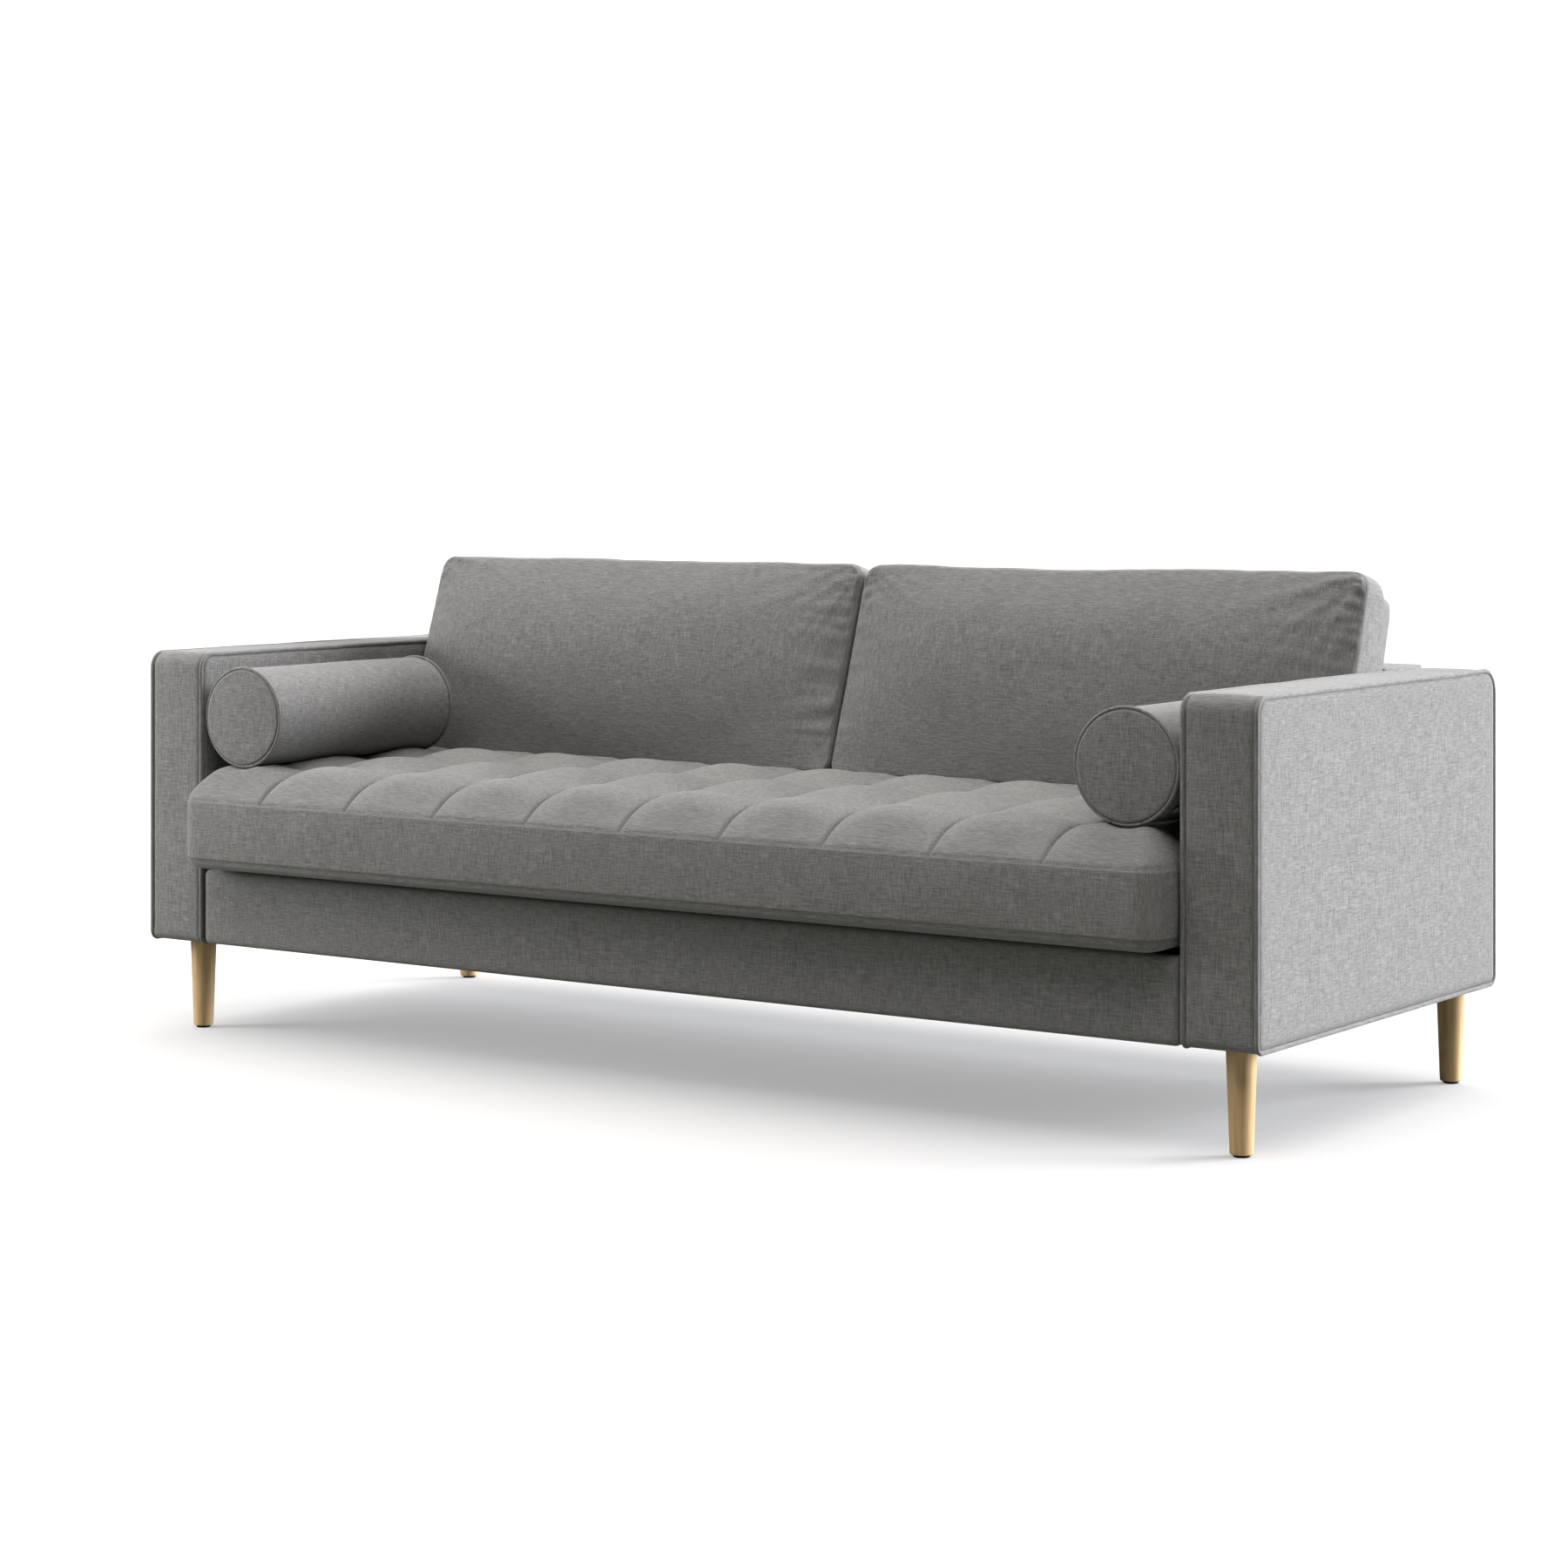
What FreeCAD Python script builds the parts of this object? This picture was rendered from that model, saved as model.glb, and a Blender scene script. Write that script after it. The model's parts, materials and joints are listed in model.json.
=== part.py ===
import FreeCAD, Part
import math
import os

# Three-seat sofa: box arms with welted edges, one tufted bench cushion, two loose back
# cushions, two bolsters and four turned oak legs. Millimetres. The sofa stands on z = 0 and
# faces -y. The origin is on the floor, below the middle of the sofa's outer box.

V = FreeCAD.Vector

# ---- outer sizes -------------------------------------------------------------------------
WIDTH = 2240.0
DEPTH = 930.0
SEAT_OVERHANG = 62.0          # how far the bench cushion stands in front of the arms
BODY_BOTTOM = 164.0           # underside of the upholstered body
ARM_TOP = 688.0
ARM_WIDTH = 129.0
BACK_TOP = 690.0

HALF = WIDTH / 2
FRONT = -DEPTH / 2 + SEAT_OVERHANG
REAR = DEPTH / 2
INNER = HALF - ARM_WIDTH      # inner face of an arm
BAY = INNER - 3.0             # half width of everything fixed between the arms

# ---- upholstery --------------------------------------------------------------------------
WELT = 10.0                   # width of the piping along the arm edges
PAD = 12.0                    # wadding and fabric over the wood
ARM_CORNER = 25.0
BOARD = 28.0                  # thickness of the seat frame's planks
PANEL = 3.0                   # fibreboard on the arm frames

# ---- seat frame --------------------------------------------------------------------------
RAIL_BOTTOM = 168.0
RAIL_TOP = 286.0
DECK_TOP = 304.0
RAIL_FRONT = FRONT + 14.0
DECK_FRONT = RAIL_FRONT + 14.0  # deck cloth meets the rail's cover on top of the rail
SEAT_REAR = 188.0             # rear face of the seat frame
REAR_RAIL_Y = SEAT_REAR - 4.0 - BOARD
STRETCHER_X = [-480.0, 0.0, 480.0]
STRETCHER_HEIGHT = 80.0
CORNER_BLOCK = 80.0           # legs of each glued triangle
CORNER_BLOCK_HEIGHT = 60.0
SPRING_COUNT = 13
SPRING_MARGIN = 78.0          # outermost spring to the end of the seat frame
SPRING_WIRE = 2.0             # radius
SPRING_Z = RAIL_TOP + 3.0
SPRING_LOOPS = 12
SPRING_REACH = 24.0           # half width of a spring
TIE_WIRE = 1.5                # radius
TIE_WIRE_Y = [-210.0, -20.0]

# ---- back --------------------------------------------------------------------------------
LEAN = math.radians(18.5)
BACK_FOOT_Y = 191.0           # front face of the back at deck height
BACK_PAD = 14.0
BACK_RAIL = 22.0              # thickness of the back's top and bottom rails
BACK_SKIN = 5.0               # padded panel over the rear
RIB = 18.0
RIB_X = [-900.0, -450.0, 0.0, 450.0, 900.0]
RIB_DEPTH = BACK_PAD + 5.0    # front edge of a rib behind the back's padded face
STRAP_Z = [330.0, 400.0, 470.0, 540.0, 610.0]
STRAP_HALF_WIDTH = 24.0

# ---- legs --------------------------------------------------------------------------------
LEG_X = 1056.0
LEG_FRONT_Y = FRONT + 73.0
LEG_REAR_Y = FRONT + 827.0
LEG_TOP_R = 23.5
LEG_FOOT_R = 17.75
LEG_TOP = BODY_BOTTOM + 0.5
GLIDE_HEIGHT = 4.0
GLIDE_R = 12.5
BOLT_R = 4.0

# ---- loose cushions ----------------------------------------------------------------------
SEAT_BOTTOM = 306.0
SEAT_SEAM = 428.0             # height of the front top seam
SEAT_TOP = 484.0
SEAT_CROWN_RUN = 118.0        # from the front seam to where the top is level
SEAT_END_RUN = 105.0          # the same, at the two ends
SEAT_HALF = 985.0
SEAT_BACK = 186.0
BOLSTER_X = 897.0
BOLSTER_Z = 575.0
BOLSTER_R = 87.5
BOLSTER_FRONT = FRONT + 3.0
BOLSTER_LENGTH = 482.0
PILLOW_FOOT = (142.0, 484.0)  # lower front corner of a back cushion, as y and z
PILLOW_HEIGHT = 384.0         # along the lean
PILLOW_DEPTH = 100.0          # boxing, square to the lean
PILLOW_CROWN = 26.0           # how far the front face swells
PILLOW_CORE_CROWN = 8.0       # and its foam core's, the rest being loose fibre
PILLOW_OUTER = 984.0
PILLOW_GAP = 4.0              # half the gap between the two back cushions
CORE_INSET = 12.0             # cover and wadding around each foam core
CORE_GAP = 0.5                # between a core and its cover


def box(x0, x1, y0, y1, z0, z1):
    return Part.makeBox(x1 - x0, y1 - y0, z1 - z0, V(x0, y0, z0))


def mirrored(shape):
    return shape.mirror(V(0, 0, 0), V(1, 0, 0))


def prism(points, x0, x1):
    """A polygon of (y, z) corners, extruded along x."""
    corners = [V(x0, y, z) for y, z in points]
    face = Part.Face(Part.makePolygon(corners + [corners[0]]))
    return face.extrude(V(x1 - x0, 0, 0))


def rod_z(x, y, z0, z1, radius):
    return Part.makeCylinder(radius, z1 - z0, V(x, y, z0))


def rod_x(x0, x1, y, z, radius):
    return Part.makeCylinder(radius, x1 - x0, V(x0, y, z), V(1, 0, 0))


def rod_y(x, y0, y1, z, radius):
    return Part.makeCylinder(radius, y1 - y0, V(x, y0, z), V(0, 1, 0))


def round_along(shape, direction, radius, wanted):
    """Fillet the straight edges along direction whose middle passes the test wanted."""
    edges = []
    for edge in shape.Edges:
        if len(edge.Vertexes) == 2:
            start, end = [vertex.Point for vertex in edge.Vertexes]
            run = end - start
            along = abs(run.dot(direction)) > 0.999 * run.Length
            if along and wanted((start + end) * 0.5):
                edges.append(edge)
    return shape.makeFillet(radius, edges)


def lean(shape):
    """Tilt a back cushion piece, drawn upright at its foot, to the angle of the back."""
    tilted = shape.copy()
    tilted.rotate(V(0, 0, 0), V(1, 0, 0), -math.degrees(LEAN))
    tilted.translate(V(0, PILLOW_FOOT[0], PILLOW_FOOT[1]))
    return tilted


def save(name, *solids):
    shape = solids[0] if len(solids) == 1 else Part.makeCompound(list(solids))
    for solid in shape.Solids:
        if not solid.isValid() or solid.Volume <= 0:
            raise ValueError("bad solid in " + name)
    shape.exportStep("parts/" + name + ".step")


def save_both(name, solids):
    """Save the right-hand solids and their mirror images as one node."""
    save(name, *(solids + [mirrored(solid) for solid in solids]))


# ---- arms --------------------------------------------------------------------------------
ARM_Y0 = RAIL_FRONT + 1.0     # arm frame, front and rear
ARM_Y1 = REAR - 15.0
ARM_X0 = INNER + PAD + PANEL
ARM_X1 = HALF - PAD - PANEL
ARM_BASE = BODY_BOTTOM + 2.5
ARM_BASE_TOP = ARM_BASE + 25.0
ARM_HEAD = ARM_TOP - 14.0
ARM_POST = 25.0               # thickness of the posts and of the bolting board
ARM_RAIL = 22.0               # thickness of the top rail
LEDGER = [200.0, 270.0]       # bolting board inside the arm, low and high
ARM_BOLT_Y = [-240.0, -100.0, 40.0]
ARM_BOLT_Z = 232.0
ARM_MIDDLE_Y = -40.0          # front of the middle post, behind the ledger
ARM_LEGS_Y = [LEG_FRONT_Y, LEG_REAR_Y]


def arm_outline(inset, radius, x0, x1):
    slab = box(x0, x1, FRONT + inset, REAR - inset, BODY_BOTTOM + inset, ARM_TOP - inset)
    top = round_along(slab, V(1, 0, 0), radius, lambda p: p.z > 500)
    return round_along(top, V(1, 0, 0), min(radius, 12.0), lambda p: p.z < 500)


def arm_bolt_holes():
    holes = [rod_x(BAY - BOARD - 5, ARM_X0 + 30, y, ARM_BOLT_Z, BOLT_R + 0.1) for y in ARM_BOLT_Y]
    return Part.makeCompound(holes)


def arm_side_cover(x0, x1):
    return arm_outline(WELT, ARM_CORNER - WELT, x0, x1)


def arm_welt(x0, x1):
    inner = arm_outline(WELT, ARM_CORNER - WELT, x0 - 1, x1 + 1)
    return arm_outline(0, ARM_CORNER, x0, x1).cut(inner)


def arm_boxing():
    """The strip over the front, top and rear of the arm, between the two welts."""
    x0 = INNER + WELT
    x1 = HALF - WELT
    outer = arm_outline(2, ARM_CORNER - 2, x0, x1)
    hollow = box(x0 - 1, x1 + 1, ARM_Y0 - 1, ARM_Y1 + 1, 0, ARM_HEAD)
    strip = outer.cut(hollow)
    side_skins = [box(x0 - 1, INNER + PAD + 0.5, FRONT + WELT, REAR - WELT,
                      BODY_BOTTOM + WELT, ARM_TOP - WELT),
                  box(HALF - PAD - 0.5, x1 + 1, FRONT + WELT, REAR - WELT,
                      BODY_BOTTOM + WELT, ARM_TOP - WELT)]
    return strip.cut(Part.makeCompound(side_skins))


def arm_base_cover():
    cloth = box(INNER + WELT + 0.5, HALF - WELT - 0.5, ARM_Y0, ARM_Y1, LEG_TOP, ARM_BASE)
    for y in ARM_LEGS_Y:
        cloth = cloth.cut(rod_z(LEG_X, y, 0, 300, BOLT_R + 1))
    return cloth


def arm_ledger():
    board = box(ARM_X0, ARM_X0 + ARM_POST, ARM_Y0 + ARM_POST, ARM_Y1 - ARM_POST, *LEDGER)
    return board.cut(arm_bolt_holes())


def arm_rails():
    bottom = box(ARM_X0, ARM_X1, ARM_Y0, ARM_Y1, ARM_BASE, ARM_BASE_TOP)
    for y in ARM_LEGS_Y:
        bottom = bottom.cut(rod_z(LEG_X, y, 0, 300, BOLT_R + 1))
    top = box(ARM_X0, ARM_X1, ARM_Y0, ARM_Y1, ARM_HEAD - ARM_RAIL, ARM_HEAD)
    return [bottom, top]


def arm_posts():
    posts = []
    for y in (ARM_Y0, ARM_MIDDLE_Y, ARM_Y1 - ARM_POST):
        x0 = ARM_X0 + ARM_POST if y == ARM_MIDDLE_Y else ARM_X0
        posts.append(box(x0, ARM_X1, y, y + ARM_POST, ARM_BASE_TOP, ARM_HEAD - ARM_RAIL))
    rear = posts[2].cut(box(ARM_X0, ARM_X1, LEG_REAR_Y - 12, LEG_REAR_Y + 12, 0, 215))
    return [posts[0], posts[1], rear]


def arm_panels():
    low = ARM_BASE + 1
    high = ARM_HEAD - 1
    inner = box(INNER + PAD, ARM_X0, ARM_Y0, ARM_Y1, low, high).cut(arm_bolt_holes())
    outer = box(ARM_X1, HALF - PAD, ARM_Y0, ARM_Y1, low, high)
    return [inner, outer]


def make_arms():
    inside = arm_side_cover(INNER, INNER + PAD).cut(arm_bolt_holes())
    handed = {
        "arm_inside_cover": [inside],
        "arm_outside_cover": [arm_side_cover(HALF - PAD, HALF)],
        "arm_boxing": [arm_boxing()],
        "arm_welts": [arm_welt(INNER, INNER + WELT), arm_welt(HALF - WELT, HALF)],
    }
    for name, solids in handed.items():
        save(name + "_right", *solids)
        save(name + "_left", *[mirrored(solid) for solid in solids])
    save_both("arm_base_covers", [arm_base_cover()])
    save_both("arm_frames", arm_rails() + [arm_ledger()] + arm_posts())
    save_both("arm_panels", arm_panels())


def make_arm_fasteners():
    bolts = []
    washers = []
    nuts = []
    head_x = BAY - BOARD
    nut_x = ARM_X0 + ARM_POST
    for y in ARM_BOLT_Y:
        shank = rod_x(head_x - 1.5, nut_x + 9, y, ARM_BOLT_Z, BOLT_R)
        head = Part.makeCone(6.5, 7.5, 5.5, V(head_x - 7, y, ARM_BOLT_Z), V(1, 0, 0))
        bolts.append(shank.fuse(head))
        washer = rod_x(head_x - 1.5, head_x, y, ARM_BOLT_Z, 10)
        washers.append(washer.cut(rod_x(0, HALF, y, ARM_BOLT_Z, BOLT_R + 0.1)))
        hexagon = [V(nut_x, y + 7.5 * math.cos(math.radians(60 * k)),
                     ARM_BOLT_Z + 7.5 * math.sin(math.radians(60 * k))) for k in range(6)]
        nut = Part.Face(Part.makePolygon(hexagon + [hexagon[0]])).extrude(V(6.5, 0, 0))
        nuts.append(nut.cut(rod_x(0, HALF, y, ARM_BOLT_Z, BOLT_R + 0.05)))
    save_both("arm_bolts", bolts)
    save_both("arm_bolt_washers", washers)
    save_both("arm_bolt_nuts", nuts)


# ---- seat frame --------------------------------------------------------------------------
def side_rail():
    rail = box(BAY - BOARD, BAY, RAIL_FRONT + BOARD, REAR_RAIL_Y, RAIL_BOTTOM, RAIL_TOP)
    return rail.cut(arm_bolt_holes())


def corner_blocks():
    """Four glued triangles that stiffen the corners of the seat frame."""
    low = RAIL_BOTTOM + 30
    x = BAY - BOARD
    blocks = []
    for y, step in ((RAIL_FRONT + BOARD, CORNER_BLOCK), (REAR_RAIL_Y, -CORNER_BLOCK)):
        corners = [V(x, y, low), V(x - CORNER_BLOCK, y, low), V(x, y + step, low)]
        face = Part.Face(Part.makePolygon(corners + [corners[0]]))
        block = face.extrude(V(0, 0, CORNER_BLOCK_HEIGHT))
        blocks += [block, mirrored(block)]
    return blocks


def sinuous_spring(x):
    """One zig-zag spring: straight bars across, joined by half-round bends."""
    y0 = RAIL_FRONT + BOARD - 7
    y1 = REAR_RAIL_Y + 7
    pitch = (y1 - y0) / SPRING_LOOPS
    bend = pitch / 2
    bar = SPRING_REACH - bend
    edges = [Part.LineSegment(V(x, y0, SPRING_Z), V(x + bar, y0, SPRING_Z)).toShape()]
    side = 1
    y = y0
    for loop in range(SPRING_LOOPS):
        start = V(x + side * bar, y, SPRING_Z)
        middle = V(x + side * SPRING_REACH, y + bend, SPRING_Z)
        end = V(x + side * bar, y + pitch, SPRING_Z)
        edges.append(Part.Arc(start, middle, end).toShape())
        y += pitch
        last = loop == SPRING_LOOPS - 1
        reach = x if last else x - side * bar
        edges.append(Part.LineSegment(end, V(reach, y, SPRING_Z)).toShape())
        side = -side
    path = Part.Wire(edges)
    section = Part.Wire(Part.makeCircle(SPRING_WIRE, V(x, y0, SPRING_Z), V(1, 0, 0)))
    spring = path.makePipeShell([section], True, False)
    expected = math.pi * SPRING_WIRE ** 2 * path.Length
    print("spring volume over section times length: %.4f" % (spring.Volume / expected))
    return spring


def spring_clip(x, y, direction):
    """A folded steel clip that holds one end bar of a spring on top of a rail.

    Its fold lies towards direction along y, and it opens the other way.
    """
    body = box(x - 10, x + 10, y - 6, y + 6, RAIL_TOP, RAIL_TOP + 6.2)
    slot_y0 = y - 4.5 if direction < 0 else y - 7
    slot_y1 = y + 7 if direction < 0 else y + 4.5
    return body.cut(box(x - 11, x + 11, slot_y0, slot_y1, RAIL_TOP + 0.9, RAIL_TOP + 5.1))


def make_seat_frame():
    long_rails = [box(-BAY, BAY, y, y + BOARD, RAIL_BOTTOM, RAIL_TOP)
                  for y in (RAIL_FRONT, REAR_RAIL_Y)]
    save("seat_long_rails", *long_rails)
    save_both("seat_side_rails", [side_rail()])
    low = RAIL_BOTTOM + 10
    stretchers = [box(x - BOARD / 2, x + BOARD / 2, RAIL_FRONT + BOARD, REAR_RAIL_Y,
                      low, low + STRETCHER_HEIGHT) for x in STRETCHER_X]
    save("seat_stretchers", *stretchers)
    save("corner_blocks", *corner_blocks())

    spacing = 2 * (BAY - SPRING_MARGIN) / (SPRING_COUNT - 1)
    places = [(k - (SPRING_COUNT - 1) / 2) * spacing for k in range(SPRING_COUNT)]
    first = sinuous_spring(0)
    springs = []
    clips = []
    for x in places:
        spring = first.copy()
        spring.translate(V(x, 0, 0))
        springs.append(spring)
        clips.append(spring_clip(x, RAIL_FRONT + BOARD - 7, -1))
        clips.append(spring_clip(x, REAR_RAIL_Y + 7, 1))
    save("seat_springs", *springs)
    save("spring_clips", *clips)
    tie_z = SPRING_Z + SPRING_WIRE + TIE_WIRE + 0.1
    ties = [rod_x(-BAY + 40, BAY - 40, y, tie_z, TIE_WIRE) for y in TIE_WIRE_Y]
    save("spring_tie_wires", *ties)

    save("deck_felt", box(-BAY, BAY, DECK_FRONT, SEAT_REAR, DECK_TOP - 9, DECK_TOP - 6))
    save("deck_cover", box(-BAY, BAY, DECK_FRONT, SEAT_REAR, DECK_TOP - 6, DECK_TOP))
    save("front_rail_cover", front_rail_cover())
    save("dust_cover", box(-BAY, BAY, RAIL_FRONT + BOARD, REAR - BACK_SKIN - 1,
                           RAIL_BOTTOM - 2, RAIL_BOTTOM - 0.5))


def front_rail_cover():
    """Padded fabric over the front rail, folded over its top and under its bottom."""
    face_y = RAIL_FRONT - PAD
    top = RAIL_TOP + PAD
    outer = box(-BAY, BAY, face_y, DECK_FRONT - 0.2, RAIL_BOTTOM - 3, top)
    outer = round_along(outer, V(1, 0, 0), 9.0, lambda p: p.y < face_y + 1 and p.z > 200)
    board = box(-BAY - 1, BAY + 1, RAIL_FRONT, DECK_FRONT + 10, RAIL_BOTTOM, RAIL_TOP)
    return outer.cut(board)


# ---- back --------------------------------------------------------------------------------
def back_plane_y(z):
    """The y of the back's padded front face at height z."""
    return BACK_FOOT_Y + (z - DECK_TOP) * math.tan(LEAN)


def back_strip(z0, z1, near, far):
    """Corners of a slab along the front of the back, from depth near to depth far."""
    return [(back_plane_y(z0) + near, z0), (back_plane_y(z1) + near, z1),
            (back_plane_y(z1) + far, z1), (back_plane_y(z0) + far, z0)]


def back_rib(x):
    low = RAIL_BOTTOM + BACK_RAIL
    high = BACK_TOP - BACK_PAD - BACK_RAIL
    rear = REAR - BACK_SKIN - 1
    outline = prism([(SEAT_REAR + 6, low), (back_plane_y(DECK_TOP) + RIB_DEPTH, DECK_TOP),
                     (back_plane_y(high) + RIB_DEPTH, high), (rear, high), (rear, low)],
                    x - RIB / 2, x + RIB / 2)
    window = prism([(SEAT_REAR + 70, low + 50), (back_plane_y(high) + 60, high - 60),
                    (rear - 50, high - 60), (rear - 50, low + 50)], x - RIB, x + RIB)
    return outline.cut(window)


def make_back():
    save("back_ribs", *[back_rib(x) for x in RIB_X])
    lid_z = BACK_TOP - BACK_PAD
    rear = REAR - BACK_SKIN - 1
    top_rail = box(-BAY, BAY, back_plane_y(lid_z) + RIB_DEPTH, rear, lid_z - BACK_RAIL, lid_z)
    bottom_rail = box(-BAY, BAY, SEAT_REAR + 6, rear, RAIL_BOTTOM, RAIL_BOTTOM + BACK_RAIL)
    save("back_rails", top_rail, bottom_rail)
    straps = []
    for z in STRAP_Z:
        corners = back_strip(z - STRAP_HALF_WIDTH, z + STRAP_HALF_WIDTH, RIB_DEPTH - 2, RIB_DEPTH - 0.2)
        straps.append(prism(corners, -BAY + 3, BAY - 3))
    save("back_webbing", *straps)
    inside = prism(back_strip(DECK_TOP + 1, lid_z, 0, BACK_PAD), -BAY, BAY)
    save("back_inside_cover", inside)
    lid = box(-BAY, BAY, back_plane_y(lid_z), REAR, lid_z, BACK_TOP)
    lid = round_along(lid, V(1, 0, 0), 10.0, lambda p: p.z > BACK_TOP - 1)
    save("back_top_cover", lid)
    save("back_outside_cover", box(-BAY, BAY, REAR - BACK_SKIN, REAR, RAIL_BOTTOM - 2, lid_z))


# ---- legs --------------------------------------------------------------------------------
def leg(x, y):
    """A turned, tapered leg with eased edges, bored for its bolt and its glide's pin."""
    ease = 1.5
    outline = [V(0, 0, GLIDE_HEIGHT), V(LEG_FOOT_R - ease, 0, GLIDE_HEIGHT),
               V(LEG_FOOT_R, 0, GLIDE_HEIGHT + ease), V(LEG_TOP_R, 0, LEG_TOP - ease),
               V(LEG_TOP_R - ease, 0, LEG_TOP), V(0, 0, LEG_TOP)]
    face = Part.Face(Part.makePolygon(outline + [outline[0]]))
    turned = face.revolve(V(0, 0, 0), V(0, 0, 1), 360)
    turned = turned.cut(rod_z(0, 0, LEG_TOP - 50, LEG_TOP + 1, BOLT_R))
    turned = turned.cut(rod_z(0, 0, 0, GLIDE_HEIGHT + 14, 2.0))
    turned.translate(V(x, y, 0))
    return turned


def glide(x, y):
    disc = rod_z(x, y, 0, GLIDE_HEIGHT, GLIDE_R)
    rims = [edge for edge in disc.Edges if edge.BoundBox.ZMax < 0.1]
    disc = disc.makeFillet(1.2, rims)
    return disc.fuse(rod_z(x, y, GLIDE_HEIGHT - 0.5, GLIDE_HEIGHT + 13, 1.95))


def make_legs():
    glides = []
    bolts = []
    tee_nuts = []
    for depth, y in (("front", LEG_FRONT_Y), ("rear", LEG_REAR_Y)):
        for side, x in (("left", -LEG_X), ("right", LEG_X)):
            save("leg_" + depth + "_" + side, leg(x, y))
            glides.append(glide(x, y))
            bolts.append(rod_z(x, y, LEG_TOP - 49, ARM_BASE_TOP + 8, BOLT_R - 0.05))
            barrel = rod_z(x, y, ARM_BASE + 9, ARM_BASE_TOP, BOLT_R + 0.95)
            flange = rod_z(x, y, ARM_BASE_TOP, ARM_BASE_TOP + 1.6, 11)
            nut = barrel.fuse(flange).cut(rod_z(x, y, 0, 300, BOLT_R))
            tee_nuts.append(nut)
    save("leg_glides", *glides)
    save("hanger_bolts", *bolts)
    save("leg_tee_nuts", *tee_nuts)


# ---- loose cushions ----------------------------------------------------------------------
def crown_middle(y, z, run, drop):
    """Middle of the arc that leaves (y, z) level and falls by drop over run."""
    radius = (run * run + drop * drop) / (2 * drop)
    half_turn = math.asin(abs(run) / radius) / 2
    reach = math.copysign(radius * math.sin(half_turn), run)
    return V(0, y + reach, z - radius + radius * math.cos(half_turn))


def seat_side_profile(inset):
    """Front, top and rear of the bench cushion, seen from its end."""
    front = -DEPTH / 2 + inset
    back = SEAT_BACK - inset
    low = SEAT_BOTTOM + inset
    high = SEAT_TOP - inset
    seam = SEAT_SEAM - inset * 0.4
    run = SEAT_CROWN_RUN
    points = [V(0, front + 22, low), V(0, front + 7, low + 7), V(0, front, low + 22),
              V(0, front, seam), crown_middle(front + run, high, -run, high - seam),
              V(0, front + run, high), V(0, back - run, high),
              crown_middle(back - run, high, run, high - seam), V(0, back, seam),
              V(0, back, low + 12), V(0, back - 12, low)]
    edges = [Part.Arc(points[0], points[1], points[2]).toShape(),
             Part.LineSegment(points[2], points[3]).toShape(),
             Part.Arc(points[3], points[4], points[5]).toShape(),
             Part.LineSegment(points[5], points[6]).toShape(),
             Part.Arc(points[6], points[7], points[8]).toShape(),
             Part.LineSegment(points[8], points[9]).toShape(),
             Part.LineSegment(points[9], points[10]).toShape(),
             Part.LineSegment(points[10], points[0]).toShape()]
    return Part.Wire(edges)


def seat_end_profile():
    """Ends and top of the bench cushion, seen from the front, with its crown falling at both ends."""
    low = SEAT_BOTTOM - 5
    run = SEAT_END_RUN
    middle = crown_middle(SEAT_HALF - run, SEAT_TOP, run, SEAT_TOP - SEAT_SEAM)
    points = [V(SEAT_HALF, 0, SEAT_SEAM), V(middle.y, 0, middle.z), V(SEAT_HALF - run, 0, SEAT_TOP)]
    far = [V(-point.x, 0, point.z) for point in points]
    edges = [Part.LineSegment(V(SEAT_HALF, 0, low), points[0]).toShape(),
             Part.Arc(*points).toShape(),
             Part.LineSegment(points[2], far[2]).toShape(),
             Part.Arc(far[2], far[1], far[0]).toShape(),
             Part.LineSegment(far[0], V(-SEAT_HALF, 0, low)).toShape(),
             Part.LineSegment(V(-SEAT_HALF, 0, low), V(SEAT_HALF, 0, low)).toShape()]
    return Part.Wire(edges)


def seat_bar(inset):
    """The bench cushion's side profile, run a little past both ends."""
    half = SEAT_HALF + 5
    bar = Part.Face(seat_side_profile(inset)).extrude(V(2 * half, 0, 0))
    bar.translate(V(-half, 0, 0))
    return bar


def across_seat(end_profile):
    """An end profile, run from front to rear and a little past both."""
    solid = Part.Face(end_profile).extrude(V(0, DEPTH, 0))
    solid.translate(V(0, -DEPTH / 2 - 50, 0))
    return solid


def seat_outer():
    """The bench cushion, boxed in front and crowned on top, with rounded corners in plan."""
    block = seat_bar(0).common(across_seat(seat_end_profile()))
    plan = box(-SEAT_HALF, SEAT_HALF, -DEPTH / 2 - 1, SEAT_BACK + 1, SEAT_BOTTOM - 5, SEAT_TOP + 5)
    return block.common(round_along(plan, V(0, 0, 1), 30.0, lambda p: True))


def seat_foam(inset):
    """The foam core, or the room for it: square corners, and straight slopes down to the ends."""
    half = SEAT_HALF - inset
    low = SEAT_BOTTOM - 5
    seam = SEAT_SEAM - inset * 0.4
    slope = SEAT_END_RUN / (SEAT_TOP - inset - seam)
    above = SEAT_TOP + 5
    right = [(half, low), (half, seam), (half - slope * (above - seam), above)]
    outline = right + [(-x, z) for x, z in reversed(right)]
    corners = [V(x, 0, z) for x, z in outline]
    return seat_bar(inset).common(across_seat(Part.makePolygon(corners + [corners[0]])))


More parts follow.
